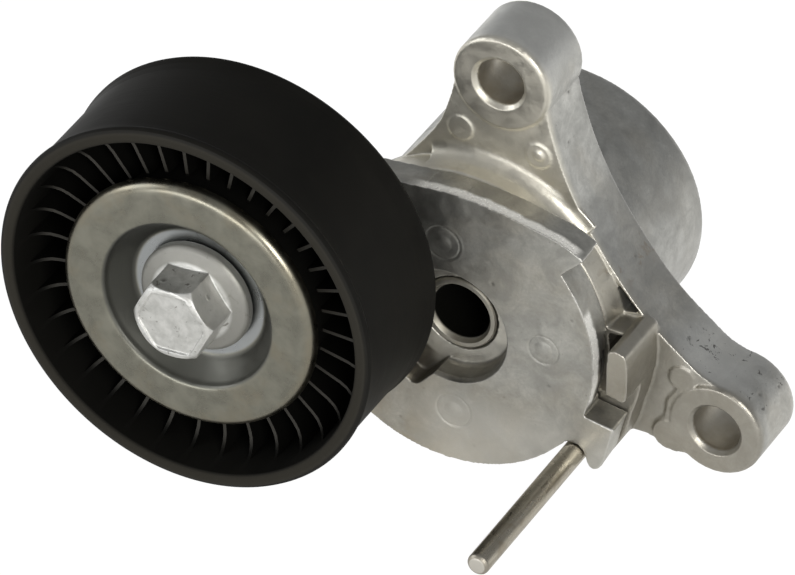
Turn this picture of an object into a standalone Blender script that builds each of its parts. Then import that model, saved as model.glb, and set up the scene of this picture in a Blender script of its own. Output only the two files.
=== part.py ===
"""Belt tensioner idler: die-cast base with spring drum, sprung arm, idler pulley
on a deep-groove bearing, pulley bolt and travel lock pin.

Frame: X right, Z up, -Y (the front) towards the pulley side.  The arm pivot is
the Y axis through the origin, and the origin is the centre of the drum's rear face.
All sizes are in millimetres and are scaled by MM when a mesh is made.
Depths are Y values drawn from a datum plane DATUM mm in front of the drum's rear
face.  Profiles are (radius, y) points; outlines are (x, z) points.
"""
import math

import bmesh
import bpy
from mathutils import Matrix, Vector

for old_object in list(bpy.data.objects):
    bpy.data.objects.remove(old_object, do_unlink=True)

# ----------------------------------------------------------------- sizes (mm)
MM = 0.001                     # metres in a millimetre
DATUM = 1.5
GAP = 0.3                      # working gap between neighbouring pieces
WELD_DRAWN = 0.002             # weld distance in a drawn mesh, mm
WELD_BUILT = 0.00001           # weld distance after the booleans, metres
PIVOT = (0.0, 0.0)             # every axis is the (x, z) of a line along Y
PULLEY_AXIS = (-33.8, 11.3)
PIN_AXIS = (23.7, -18.3)

# arm
ARM_FRONT, ARM_BACK = -45.0, -38.9
DISC_R = 27.4
LOBE_R = 13.0                  # arm lobe under the pulley boss
BOSS_R, BOSS_FRONT = 10.5, -54.7
RECESS_R, RECESS_FLOOR = 10.4, -40.6
SLOT_ANGLE, SLOT_HALF_WIDTH, SLOT_END = 228.0, 5.1, 15.2
NOTCH_R = 2.35
EDGE_DRAFT, EDGE_BEVEL = 0.35, 0.22

# base housing
DRUM_R, DRUM_REAR_R, DRUM_IN_R = 25.0, 24.8, 21.8
DRUM_FLOOR = -4.0
RIM_R, RIM_IN_R, RIM_FRONT = 27.0, 24.4, -38.6
WEB_FRONT, WEB_REAR = -33.8, -21.9
POCKET_FLOOR = WEB_FRONT + 4.2
STRAP_DRAFT = 0.55
HUB_R, HUB_FRONT = 10.2, -10.4
EAR_TOP, EAR_TOP_R = (4.0, 44.0), 9.0
EAR_LOW, EAR_LOW_R = (44.8, -13.2), 8.7
EAR_FRONT, EAR_REAR = -34.4, -21.5
TOP_HOLE = (3.8, 44.1)
LOW_HOLE = EAR_LOW
EAR_HOLE_R, EAR_CHAMFER = 4.25, 1.05
CUT_FRONT = -50.0              # bores are cut from here, clear of the front

# pivot shaft, bushes and spring
SHAFT_R, SHAFT_IN_R, SHAFT_LIP_R = 6.0, 5.2, 6.9
BUSH_IN_R, BUSH_OUT_R = SHAFT_R + GAP, 8.0
SPRING_WIRE_R, SPRING_R, SPRING_TURNS = 2.0, 16.6, 4.75
SPRING_REAR, SPRING_FRONT = -10.0, -32.5
SPRING_START = -80.0           # angle of the rear end, degrees
SPRING_STEPS, SPRING_SIDES = 84, 7

# pulley
PULLEY_R, BELT_R = 35.0, 34.5
PULLEY_FRONT, PULLEY_REAR = -75.5, -51.0
PULLEY_HUB_R = 22.2
SEAT_LIP_R, SEAT_LIP = 19.4, 2.7   # lips that hold the bearing: bore and depth
PULLEY_WEB_FRONT, PULLEY_WEB_REAR = -61.0, -58.6
RIB_COUNT, RIB_START, RIB_HALF = 36, -2.6, 0.45
RIB_FRONT, RIB_REAR = -68.0, -55.0

# bearing
BEARING_R, BEARING_BORE_R = 20.0, 8.5
BEARING_FRONT, BEARING_REAR = -68.1, -56.1
BEARING_MID = 0.5 * (BEARING_FRONT + BEARING_REAR)
OUTER_LAND_R, INNER_LAND_R = 16.6, 11.9
LAND_STEP = 2.1                # depth of the profile point on each land
BALL_R, BALL_PITCH_R, BALL_COUNT, BALL_START = 3.1, 14.25, 8, 11.0
GROOVE_R, GROOVE_HALF_ANGLE, GROOVE_STEPS = 3.4, 45.0, 5
CAGE_HALF_WALL, CAGE_HALF_DEPTH = 1.15, 4.4
SEAL_IN_R, SEAL_OUT_R, SEAL_DEPTH = 12.2, 16.3, 0.8

# bolt and lock pin
BOLT_FLANGE_R, BOLT_FLANGE_BACK, BOLT_FLANGE_FRONT = 10.25, -69.5, -71.5
BOLT_FLATS = 13.0              # across flats
BOLT_TOP, BOLT_SHANK_R, BOLT_END = -79.8, 4.0, -43.0
BOLT_TURN = 3.4                # turn of the hexagon, degrees
PIN_R, PIN_FRONT, PIN_TIP = 2.0, -80.0, -37.2

SMOOTH_ANGLE = 35.0            # edges sharper than this stay sharp, degrees

# ------------------------------------------------------------------ materials
STEEL = (0.56, 0.55, 0.53)
RING_STEEL = (0.62, 0.62, 0.62)
BUSH_CREAM = (0.62, 0.58, 0.48)
SEAL_BLACK = (0.05, 0.045, 0.04)

# name: (base colour, metallic, roughness)
MATERIALS = {
    "cast_base": ((0.60, 0.59, 0.56), 0.85, 0.42),
    "cast_arm": ((0.58, 0.57, 0.54), 0.85, 0.40),
    "pulley_polymer": ((0.030, 0.028, 0.026), 0.0, 0.45),
    "bearing_outer_steel": (RING_STEEL, 1.0, 0.22),
    "bearing_inner_steel": (RING_STEEL, 1.0, 0.22),
    "ball_steel": ((0.70, 0.70, 0.70), 1.0, 0.12),
    "cage_polymer": ((0.55, 0.45, 0.28), 0.0, 0.5),
    "seal_rubber": (SEAL_BLACK, 0.0, 0.6),
    "rear_seal_rubber": (SEAL_BLACK, 0.0, 0.6),
    "cover_zinc_steel": ((0.62, 0.60, 0.54), 1.0, 0.34),
    "spacer_steel": (STEEL, 1.0, 0.3),
    "shield_steel": (STEEL, 1.0, 0.4),
    "bolt_zinc": ((0.72, 0.72, 0.70), 1.0, 0.36),
    "shaft_steel": (STEEL, 1.0, 0.28),
    "bush_polymer": (BUSH_CREAM, 0.0, 0.5),
    "rear_bush_polymer": (BUSH_CREAM, 0.0, 0.5),
    "thrust_washer_bronze": ((0.55, 0.42, 0.24), 1.0, 0.35),
    "friction_ring_polymer": ((0.10, 0.09, 0.08), 0.0, 0.55),
    "spring_seat_polymer": ((0.12, 0.11, 0.10), 0.0, 0.55),
    "spring_steel": ((0.30, 0.30, 0.31), 1.0, 0.35),
    "pin_steel": ((0.50, 0.47, 0.42), 1.0, 0.3),
}


def material(name):
    """Make the material listed under this name."""
    colour, metallic, roughness = MATERIALS[name]
    mat = bpy.data.materials.new(name)
    mat.use_nodes = True
    shader = mat.node_tree.nodes["Principled BSDF"]
    shader.inputs["Base Color"].default_value = (*colour, 1.0)
    shader.inputs["Metallic"].default_value = metallic
    shader.inputs["Roughness"].default_value = roughness
    return mat


# ------------------------------------------------------- outlines and profiles
def polar(radius, degrees):
    return (radius * math.cos(math.radians(degrees)), radius * math.sin(math.radians(degrees)))


def arc(radius, start, end, steps, centre=PIVOT):
    points = []
    for i in range(steps + 1):
        x, z = polar(radius, start + (end - start) * i / steps)
        points.append((centre[0] + x, centre[1] + z))
    return points


def rectangle(inner, outer, front, rear):
    """Profile of a plain ring, or of a disc where inner is zero."""
    return [(inner, front), (outer, front), (outer, rear), (inner, rear)]


def inset(outline, distance):
    """Move a counter-clockwise outline inwards along its corner normals."""
    moved = []
    count = len(outline)
    for i in range(count):
        corner = Vector(outline[i])
        before = (corner - Vector(outline[i - 1])).normalized()
        after = (Vector(outline[(i + 1) % count]) - corner).normalized()
        normal = Vector((-before.y - after.y, before.x + after.x)).normalized()
        moved.append(tuple(corner + normal * distance))
    return moved


def flowing(points, steps):
    """Open Catmull-Rom curve, with this many steps from one point to the next."""
    curve = []
    last = len(points) - 1
    for i in range(last):
        p = [Vector(points[max(0, min(last, i + k))]) for k in (-1, 0, 1, 2)]
        for k in range(steps):
            t = k / steps
            q = 0.5 * (2 * p[1] + (p[2] - p[0]) * t
                       + (2 * p[0] - 5 * p[1] + 4 * p[2] - p[3]) * t ** 2
                       + (3 * p[1] - p[0] - 3 * p[2] + p[3]) * t ** 3)
            curve.append((q.x, q.y))
    curve.append(tuple(points[last]))
    return curve


def rounded(points, radius, steps=4):
    """Round the corners of a closed outline; radius is one value or one per corner."""
    outline = []
    count = len(points)
    for i in range(count):
        corner = Vector(points[i])
        back = Vector(points[i - 1]) - corner
        ahead = Vector(points[(i + 1) % count]) - corner
        corner_r = radius[i] if isinstance(radius, list) else radius
        if corner_r <= 0.0:
            outline.append(tuple(corner))
            continue
        setback = min(corner_r / math.tan(back.angle(ahead) / 2.0),
                      back.length * 0.48, ahead.length * 0.48)
        start = corner + back.normalized() * setback
        end = corner + ahead.normalized() * setback
        for k in range(steps + 1):
            t = k / steps
            q = start * (1 - t) ** 2 + corner * 2 * t * (1 - t) + end * t * t
            outline.append((q.x, q.y))
    return outline


# -------------------------------------------------------------- mesh builders
def join_loops(bm, near, far):
    """Cap two matching vertex loops and wall in the space between them."""
    bm.faces.new(near)
    bm.faces.new(list(reversed(far)))
    count = len(near)
    for i in range(count):
        j = (i + 1) % count
        bm.faces.new((near[j], near[i], far[i], far[j]))


def prism(bm, outline, front_y, back_y):
    """Extrude a closed outline between two Y planes; return both vertex loops."""
    front = [bm.verts.new((x, front_y, z)) for x, z in outline]
    back = [bm.verts.new((x, back_y, z)) for x, z in outline]
    join_loops(bm, front, back)
    return front, back


def lathe(bm, profile, segments=64, centre=PIVOT, start=0.0, sweep=360.0):
    """Revolve a closed profile about a Y axis; points on the axis are shared."""
    full = sweep >= 360.0
    rings = []
    for i in range(segments if full else segments + 1):
        angle = math.radians(start + sweep * i / segments)
        ring = []
        for radius, y in profile:
            if radius < 1e-6 and rings:
                ring.append(rings[0][len(ring)])
            else:
                ring.append(bm.verts.new((centre[0] + radius * math.cos(angle), y,
                                          centre[1] + radius * math.sin(angle))))
        rings.append(ring)
    count = len(profile)
    for i in range(segments):
        here, there = rings[i], rings[(i + 1) % len(rings)]
        for j in range(count):
            k = (j + 1) % count
            corners = list(dict.fromkeys((here[j], here[k], there[k], there[j])))
            if len(corners) >= 3:
                bm.faces.new(corners)
    if not full:
        bm.faces.new(rings[0])
        bm.faces.new(rings[-1])


def shade(obj, angle):
    """Smooth shading, with edges sharper than the angle kept sharp."""
    bm = bmesh.new()
    bm.from_mesh(obj.data)
    limit = math.radians(angle)
    for face in bm.faces:
        face.smooth = True
    for edge in bm.edges:
        if len(edge.link_faces) == 2:
            edge.smooth = edge.calc_face_angle(0.0) < limit
    bm.to_mesh(obj.data)
    bm.free()


def finish(name, bm, mat=None, smooth=SMOOTH_ANGLE):
    """Turn a bmesh drawn in millimetres into an object in metres."""
    bmesh.ops.remove_doubles(bm, verts=bm.verts, dist=WELD_DRAWN)
    bmesh.ops.recalc_face_normals(bm, faces=bm.faces)
    bmesh.ops.translate(bm, vec=(0.0, -DATUM, 0.0), verts=bm.verts)
    bmesh.ops.scale(bm, vec=(MM, MM, MM), verts=bm.verts)
    mesh = bpy.data.meshes.new(name)
    bm.to_mesh(mesh)
    bm.free()
    obj = bpy.data.objects.new(name, mesh)
    bpy.context.scene.collection.objects.link(obj)
    if mat is not None:
        mesh.materials.append(mat)
    shade(obj, smooth)
    return obj


def turned_part(name, material_name, profile, segments, centre=PIVOT, start=0.0, sweep=360.0):
    """A whole piece made by one revolved profile."""
    bm = bmesh.new()
    lathe(bm, profile, segments, centre, start, sweep)
    finish(name, bm, material(material_name))


# ------------------------------------------------------------------- booleans
def tool(bm):
    """A loose helper solid used by a boolean step."""
    obj = finish("tool", bm)
    obj.hide_render = True
    return obj


def turned(profile, segments, centre=PIVOT, start=0.0, sweep=360.0):
    """Helper solid made by revolving a profile."""
    bm = bmesh.new()
    lathe(bm, profile, segments, centre, start, sweep)
    return tool(bm)


def slab(outline, front_y, back_y):
    """Helper solid made by extruding an outline."""
    bm = bmesh.new()
    prism(bm, outline, front_y, back_y)
    return tool(bm)


def combine(obj, helper, operation):
    """Apply one exact boolean and drop the helper."""
    modifier = obj.modifiers.new("combine", 'BOOLEAN')
    modifier.operation = operation
    modifier.solver = 'EXACT'
    modifier.object = helper
    depsgraph = bpy.context.evaluated_depsgraph_get()
    mesh = bpy.data.meshes.new_from_object(obj.evaluated_get(depsgraph))
    obj.modifiers.clear()
    old_mesh = obj.data
    obj.data = mesh
    bpy.data.meshes.remove(old_mesh)
    helper_mesh = helper.data
    bpy.data.objects.remove(helper, do_unlink=True)
    bpy.data.meshes.remove(helper_mesh)


def add(obj, helper):
    combine(obj, helper, 'UNION')


def cut(obj, helper):
    combine(obj, helper, 'DIFFERENCE')


def tidy(obj, mat):
    """Weld slivers left by the booleans, then set the mesh name and material."""
    bm = bmesh.new()
    bm.from_mesh(obj.data)
    bmesh.ops.remove_doubles(bm, verts=bm.verts, dist=WELD_BUILT)
    bmesh.ops.dissolve_degenerate(bm, edges=bm.edges, dist=WELD_BUILT)
    bmesh.ops.triangulate(bm, faces=[face for face in bm.faces if len(face.verts) > 4])
    bmesh.ops.recalc_face_normals(bm, faces=bm.faces)
    bm.to_mesh(obj.data)
    bm.free()
    obj.data.name = obj.name
    obj.data.materials.clear()
    obj.data.materials.append(mat)
    shade(obj, SMOOTH_ANGLE)


# --------------------------------------------------------------- base housing
# plate edges, (x, z), in clockwise order
STRAP_RIGHT_EDGE = [
    (13.1, 37.5), (15.5, 30.0), (18.7, 23.0), (22.5, 16.6), (27.0, 10.3),
    (31.0, 5.5), (34.4, 2.4), (38.0, -0.5), (41.6, -3.2), (45.5, -4.6)]
PLATE_LOW_EDGE = [
    (38.9, -20.0), (37.2, -20.4), (35.0, -20.3), (33.4, -19.0), (31.8, -18.6), (29.4, -18.7),
    (28.6, -19.2), (27.8, -20.4), (26.0, -21.5), (23.2, -22.4), (20.2, -21.2)]
STRAP_LEFT_EDGE = [
    (-15.3, 22.0), (-13.1, 24.5), (-10.7, 27.7), (-8.8, 30.4), (-7.3, 33.0),
    (-6.4, 35.6), (-5.4, 39.0), (-4.9, 41.5)]

# pockets cored from the rear, (x, z)
REAR_POCKETS = (
    [(-6.5, 26.2), (13.6, 22.9), (11.0, 31.0), (8.6, 34.6), (-0.4, 34.9)],
    [(27.4, 2.8), (31.4, -0.6), (36.0, -3.2), (37.0, -7.0), (35.2, -14.6), (28.0, -14.2)],
)
REAR_POCKET_CORNER_R = 1.6

# blends around the drum and rim: segments, start angle, sweep, profile
DRUM_BLENDS = (
    # rolling fillet between the rim and the upper web
    (12, 43.0, 65.0, [(25.0, -33.0), (25.0, -37.4), (RIM_R + 0.02, -37.4), (27.3, -35.9),
                      (27.9, -34.8), (28.7, -34.1), (29.8, -33.7), (29.8, -33.0)]),
    # draft of the rim's wall beside the strap, in two stretches
    (7, 9.0, 17.0, [(25.0, -33.0), (25.0, -37.8), (RIM_R + 0.02, -37.8), (27.2, -36.0),
                    (27.4, -34.6), (27.6, -34.2), (27.7, -33.0)]),
    (8, 23.5, 21.0, [(25.0, -33.0), (25.0, -37.7), (RIM_R + 0.01, -37.7), (27.15, -36.0),
                     (27.3, -34.5), (27.35, -33.0)]),
    # bead where the strap's rear meets the drum
    (16, -14.0, 82.0, [(24.4, -22.4), (26.9, -22.4), (26.5, -21.8), (25.6, -21.1),
                       (25.1, -20.0), (24.9, -19.4), (24.4, -19.4)]),
)

# thicker web beside the lower ear, (x, z)
THICK_WEB = [
    (37.3, -7.6), (35.7, -10.0), (35.3, -13.5), (33.6, -15.5), (33.0, -17.4), (33.8, -18.7),
    (35.4, -20.1), (37.3, -20.4), (41.0, -19.6), (44.8, -13.2), (41.6, -5.8), (39.4, -6.6)]
THICK_WEB_RISE = 0.35

# pad that carries the stop block and the pin hole: lower edge, (x, z)
PAD_LOW_EDGE = [
    (20.6, -20.9), (22.2, -21.9), (24.0, -22.0), (25.6, -21.6), (27.0, -21.0),
    (28.0, -20.3), (28.6, -19.3)]

# stop block: corners, (x, z), and the radius of each corner
STOP_BLOCK = [
    (29.8, 4.8), (31.3, 5.5), (33.2, 4.9), (33.5, 2.5),
    (33.6, 0.0), (33.5, -2.5), (33.25, -4.8), (29.6, -4.1)]
STOP_BLOCK_RADII = [0.7, 0.6, 1.3, 0.0, 0.0, 0.0, 0.9, 0.5]

# raised round pads on the front of the webs: x, z, radius, height
WEB_PADS = (
    (-3.6, 32.6, 2.4, 0.25), (11.0, 31.6, 2.4, 0.25), (11.2, 31.8, 0.9, 0.6),
    (38.4, -5.0, 2.5, 0.3), (36.1, -17.2, 2.9, 0.55))


def plate_outline():
    """Plate that joins both ears, the strap and the drum."""
    return (arc(EAR_TOP_R - 0.3, 172.0, -18.0, 14, EAR_TOP)
            + flowing(STRAP_RIGHT_EDGE, 3)
            + arc(EAR_LOW_R, 68.0, -118.0, 12, EAR_LOW)
            + PLATE_LOW_EDGE
            + arc(DRUM_R - 0.8, -52.0, -238.0, 15)
            + STRAP_LEFT_EDGE)


def base_plate():
    """The drafted plate with its two rear pockets."""
    bm = bmesh.new()
    back = prism(bm, plate_outline(), WEB_FRONT, WEB_REAR)[1]
    # draft of the strap's left edge: its rear stands further in
    for vert in back:
        if vert.co.x < -4.8 and 24.0 < vert.co.z < 42.0:
            vert.co.x += STRAP_DRAFT
    body = finish("base_housing", bm)
    for corners in REAR_POCKETS:
        cut(body, slab(rounded(corners, REAR_POCKET_CORNER_R), POCKET_FLOOR, WEB_REAR + 2))
    return body


def add_drum(body):
    drum = [
        (0.0, DRUM_FLOOR + 0.6), (0.0, DATUM), (DRUM_REAR_R - 0.8, DATUM),
        (DRUM_REAR_R - 0.25, DATUM - 0.25), (DRUM_REAR_R, DATUM - 0.8), (DRUM_R, -31.6),
        (RIM_R - 0.6, -32.0), (RIM_R, -32.6), (RIM_R, RIM_FRONT + 0.35),
        (RIM_R - 0.35, RIM_FRONT), (0.0, RIM_FRONT)]
    add(body, turned(drum, 64))
    # relief ring in the drum's rear face
    relief = [(10.6, DATUM + 1.0), (10.2, DATUM - 1.4), (19.6, DATUM - 1.4), (19.2, DATUM + 1.0)]
    cut(body, turned(relief, 40))
    for segments, start, sweep, profile in DRUM_BLENDS:
        add(body, turned(profile, segments, start=start, sweep=sweep))


def add_ears(body):
    for centre, radius in ((EAR_TOP, EAR_TOP_R), (EAR_LOW, EAR_LOW_R)):
        boss = [
            (0.0, EAR_FRONT), (radius - 0.5, EAR_FRONT), (radius, EAR_FRONT + 0.5),
            (radius, EAR_REAR - 0.4), (radius - 0.4, EAR_REAR), (0.0, EAR_REAR)]
        add(body, turned(boss, 36, centre))
    add(body, slab(THICK_WEB, WEB_FRONT - THICK_WEB_RISE, WEB_FRONT + 1.0))


def add_stop(body):
    """Pad and stop block, with the slot and pocket beside them."""
    pad = (PAD_LOW_EDGE
           + [polar(34.4, -31.0), polar(34.2, -28.0), polar(33.8, -24.0)]
           + arc(33.4, -20.0, 4.6, 8)
           + [(31.5, 4.6), (26.4, 4.6)]
           + [polar(25.6, -12.0), polar(25.6, -30.0), polar(25.6, -46.0)])
    add(body, slab(pad, RIM_FRONT, WEB_FRONT + 3.0))
    add(body, slab(rounded(STOP_BLOCK, STOP_BLOCK_RADII, 3), ARM_FRONT, WEB_FRONT + 1.0))
    # clearance slot between the rim and the block
    slot = arc(RIM_R + 0.05, -8.4, 7.8, 5) + [(29.75, 3.8), (29.6, -0.2), (29.4, -4.2)]
    cut(body, slab(slot, RIM_FRONT - 1.0, -31.6))
    # three-cornered sunk pocket between the rim, the strap and the block
    pocket = arc(27.8, 22.6, 10.9, 5) + [(30.2, 5.75), (28.3, 7.9), (26.0, 10.6)]
    cut(body, slab(pocket, WEB_FRONT - 1.0, -27.5))


def cut_drum_bores(body):
    """Spring and rim bores around the hub, the hub's front and the shaft socket."""
    spring_bore = [
        (HUB_R, CUT_FRONT), (HUB_R, DRUM_FLOOR), (DRUM_IN_R, DRUM_FLOOR), (DRUM_IN_R, -32.6),
        (RIM_IN_R, -33.4), (RIM_IN_R, CUT_FRONT)]
    cut(body, turned(spring_bore, 48))
    # depth, radius and segments of the two round cuts in the hub
    for floor, radius, segments in ((HUB_FRONT, HUB_R + 0.2, 48), (-3.4, SHAFT_R + GAP, 36)):
        bore = [(0.0, CUT_FRONT), (0.0, floor), (radius, floor), (radius, CUT_FRONT)]
        cut(body, turned(bore, segments))


def cut_holes(body):
    """Chamfered ear holes and the blind lock pin hole."""
    chamfer_r = EAR_HOLE_R + EAR_CHAMFER
    ear_hole = [
        (0.0, EAR_FRONT - 1.0), (chamfer_r + 0.95, EAR_FRONT - 1.0), (chamfer_r, EAR_FRONT),
        (EAR_HOLE_R, EAR_FRONT + EAR_CHAMFER), (EAR_HOLE_R, EAR_REAR - 0.6),
        (EAR_HOLE_R + 0.6, EAR_REAR), (EAR_HOLE_R + 1.6, EAR_REAR + 1.0), (0.0, EAR_REAR + 1.0)]
    for centre in (TOP_HOLE, LOW_HOLE):
        cut(body, turned(ear_hole, 28, centre))
    cut(body, turned(rectangle(0.0, PIN_R + GAP, -40.0, -34.4), 16, PIN_AXIS))


def add_web_pads(body):
    for x, z, radius, height in WEB_PADS:
        front = WEB_FRONT - height
        pad = [
            (0.0, front), (radius - 0.15, front), (radius, front + 0.15),
            (radius, WEB_FRONT + 1.0), (0.0, WEB_FRONT + 1.0)]
        add(body, turned(pad, 14, (x, z)))


def base_housing():
    body = base_plate()
    add_drum(body)
    add_ears(body)
    add_stop(body)
    cut_drum_bores(body)
    cut_holes(body)
    add_web_pads(body)
    # rib in the drum floor that takes the fixed spring leg
    rib = [(-3.0, -14.0), (0.0, -14.0), (0.0, -22.4), (-3.0, -22.4)]
    add(body, slab(rib, -9.8, DRUM_FLOOR + 1.0))
    tidy(body, material("cast_base"))


# -------------------------------------------------------------- tensioner arm
# edge of the stop lug at the upper right, (x, z)
STOP_LUG = [
    (24.4, 21.0), (25.1, 21.6), (24.6, 22.3), (22.6, 23.4), (20.1, 24.4), (17.2, 25.1),
    (14.0, 25.8), (10.6, 26.5), (7.0, 27.0), (3.4, 27.35)]
# edge of the hooked tab beside the lock pin, (x, z)
HOOKED_TAB = [
    (26.2, -19.4), (26.7, -20.2), (27.5, -20.5), (28.3, -20.1), (29.0, -19.2), (29.6, -17.4),
    (30.1, -15.2), (30.7, -12.7), (31.2, -11.3), (31.0, -10.85)]

# ejector marks on the front face: x, z, radius, height of the dome inside
EJECTOR_MARKS = ((1.1, -17.2, 3.2, 0.35), (17.9, 1.2, 2.7, 0.4), (-1.0, 16.8, 3.2, 0.35))
MARK_DEPTH = 0.14


def arm_outline():
    """Counter-clockwise from the tab: disc, stop lug, pulley lobe, disc, notch, tab."""
    x, z = PULLEY_AXIS
    axis = math.degrees(math.atan2(z, x))
    # half angle between the two lines tangent to disc and lobe
    half = math.degrees(math.acos((DISC_R - LOBE_R) / math.hypot(x, z)))
    return (arc(DISC_R, -21.5, 40.3, 12)
            + STOP_LUG
            + arc(DISC_R, 90.0, axis - half, 2)
            + arc(LOBE_R, axis - half, axis + half, 12, PULLEY_AXIS)
            + arc(DISC_R, axis + half, 323.2, 18)
            + arc(NOTCH_R, 118.0, -8.0, 8, PIN_AXIS)
            + HOOKED_TAB)


def arm_plate():
    """Disc and lobe, with a drafted edge wall and a bevelled front edge."""
    bm = bmesh.new()
    outline = arm_outline()
    front, back = prism(bm, outline, ARM_FRONT, ARM_BACK)
    for vert, (x, z) in zip(back, inset(outline, EDGE_DRAFT)):
        vert.co.x, vert.co.z = x, z
    front = set(front)
    front_edges = [edge for edge in bm.edges if all(vert in front for vert in edge.verts)]
    bmesh.ops.bevel(bm, geom=front_edges, offset=EDGE_BEVEL, segments=1, affect='EDGES')
    return finish("tensioner_arm", bm)


def cut_keyhole(body):
    """Round recess in the front face with a slot running to the lower left."""
    recess = [
        (0.0, CUT_FRONT), (0.0, RECESS_FLOOR), (9.6, RECESS_FLOOR), (10.15, RECESS_FLOOR - 0.2),
        (RECESS_R, RECESS_FLOOR - 0.8), (RECESS_R + 0.3, -44.2), (RECESS_R + 0.8, ARM_FRONT),
        (RECESS_R + 0.8, CUT_FRONT)]
    cut(body, turned(recess, 44))
    angle = math.radians(SLOT_ANGLE)
    along = Vector((math.cos(angle), math.sin(angle)))
    across = Vector((-math.sin(angle), math.cos(angle)))
    slot = [
        across * SLOT_HALF_WIDTH, along * SLOT_END + across * SLOT_HALF_WIDTH,
        along * SLOT_END - across * SLOT_HALF_WIDTH, -across * SLOT_HALF_WIDTH]
    cut(body, slab(rounded(slot, [0.0, 2.0, 1.2, 0.0]), CUT_FRONT, RECESS_FLOOR))


def cut_arm_bores(body):
    lip_r, shaft_r, bush_r = SHAFT_LIP_R + 0.3, SHAFT_R + 0.35, BUSH_OUT_R + GAP
    pivot_bore = [
        (0.0, CUT_FRONT), (lip_r, CUT_FRONT), (lip_r, -39.95), (shaft_r, -39.1),
        (shaft_r, -38.2), (bush_r, -38.2), (bush_r, -10.0), (0.0, -10.0)]
    cut(body, turned(pivot_bore, 36))
    cut(body, turned(rectangle(0.0, BOLT_SHANK_R + GAP, -60.0, -30.0), 24, PULLEY_AXIS))


def add_ejector_marks(body):
    """Shallow round marks, each with a low dome in the middle."""
    for x, z, radius, height in EJECTOR_MARKS:
        mark = rectangle(0.0, radius, ARM_FRONT - 1.0, ARM_FRONT + MARK_DEPTH)
        cut(body, turned(mark, 16, (x, z)))
        dome = [
            (0.0, ARM_FRONT - height), (radius * 0.28, ARM_FRONT - height * 0.86),
            (radius * 0.5, ARM_FRONT - height * 0.45), (radius * 0.66, ARM_FRONT),
            (radius * 0.72, ARM_FRONT + 0.2), (radius * 0.72, ARM_FRONT + 0.8),
            (0.0, ARM_FRONT + 0.8)]
        add(body, turned(dome, 14, (x, z)))


def tensioner_arm():
    body = arm_plate()
    # relief behind the edge of the disc, next to the stop block
    cut(body, turned(rectangle(26.4, 28.6, -41.2, -38.0), 8, start=-20.0, sweep=29.0))
    # boss that carries the pulley, and its blend onto the lobe
    boss = [
        (0.0, BOSS_FRONT), (BOSS_R - 0.6, BOSS_FRONT), (BOSS_R, BOSS_FRONT + 0.6),
        (BOSS_R + 0.4, -46.6), (BOSS_R + 1.1, -45.4), (BOSS_R + 1.6, -44.8),
        (BOSS_R + 1.6, -42.0), (0.0, -42.0)]
    add(body, turned(boss, 32, PULLEY_AXIS))
    # sleeve that turns on the shaft
    sleeve = [(0.0, -40.5), (11.5, -40.5), (12.6, -38.6), (11.6, -37.4), (11.3, -13.2), (0.0, -13.2)]
    add(body, turned(sleeve, 36))
    cut_keyhole(body)
    cut_arm_bores(body)
    add_ejector_marks(body)
    tidy(body, material("cast_arm"))


# --------------------------------------------------------------------- pulley
def pulley_body():
    """Belt rim, web, and hub closed around the bearing by two lips."""
    front, rear = PULLEY_FRONT, PULLEY_REAR
    rim = [
        (34.2, front), (34.7, front + 0.25), (PULLEY_R, front + 0.7), (PULLEY_R, front + 1.2),
        (BELT_R, front + 1.8), (BELT_R, rear - 1.8), (PULLEY_R, rear - 1.2),
        (PULLEY_R, rear - 0.7), (34.7, rear - 0.25), (34.2, rear), (32.6, rear),
        (32.3, rear - 0.3), (31.6, PULLEY_WEB_REAR)]
    hub = [
        (PULLEY_HUB_R, PULLEY_WEB_REAR),
        (PULLEY_HUB_R - 0.2, BEARING_REAR + SEAT_LIP), (SEAT_LIP_R, BEARING_REAR + SEAT_LIP),
        (SEAT_LIP_R, BEARING_REAR + GAP), (BEARING_R + GAP, BEARING_REAR + GAP),
        (BEARING_R + GAP, BEARING_FRONT - GAP), (SEAT_LIP_R, BEARING_FRONT - GAP),
        (SEAT_LIP_R, BEARING_FRONT - SEAT_LIP), (PULLEY_HUB_R - 0.2, BEARING_FRONT - SEAT_LIP),
        (PULLEY_HUB_R, PULLEY_WEB_FRONT)]
    front_corner = [(31.6, PULLEY_WEB_FRONT), (32.3, front + 0.3), (32.6, front)]
    bm = bmesh.new()
    lathe(bm, rim + hub + front_corner, 72, PULLEY_AXIS)
    return finish("pulley", bm)


def pulley_ribs():
    """Helper solid: radial ribs in front of and behind the web."""
    web_front, web_rear = PULLEY_WEB_FRONT + 0.6, PULLEY_WEB_REAR - 0.6
    front_rib = [
        (21.4, RIB_FRONT), (28.6, RIB_FRONT), (30.8, RIB_FRONT - 1.0), (32.3, RIB_FRONT - 3.6),
        (33.2, RIB_FRONT - 3.6), (33.2, web_front), (21.4, web_front)]
    rear_rib = [
        (21.4, web_rear), (33.1, web_rear), (33.1, RIB_REAR + 1.6), (31.6, RIB_REAR + 0.4),
        (30.4, RIB_REAR), (21.4, RIB_REAR)]
    bm = bmesh.new()
    for profile in (front_rib, rear_rib):
        for i in range(RIB_COUNT):
            cos, sin = polar(1.0, RIB_START + 360.0 * i / RIB_COUNT)
            sides = []
            for offset in (-RIB_HALF, RIB_HALF):
                sides.append([bm.verts.new((PULLEY_AXIS[0] + radius * cos - offset * sin, y,
                                            PULLEY_AXIS[1] + radius * sin + offset * cos))
                              for radius, y in profile])
            join_loops(bm, *sides)
    return tool(bm)


def pulley():
    body = pulley_body()
    add(body, pulley_ribs())
    tidy(body, material("pulley_polymer"))


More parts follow.
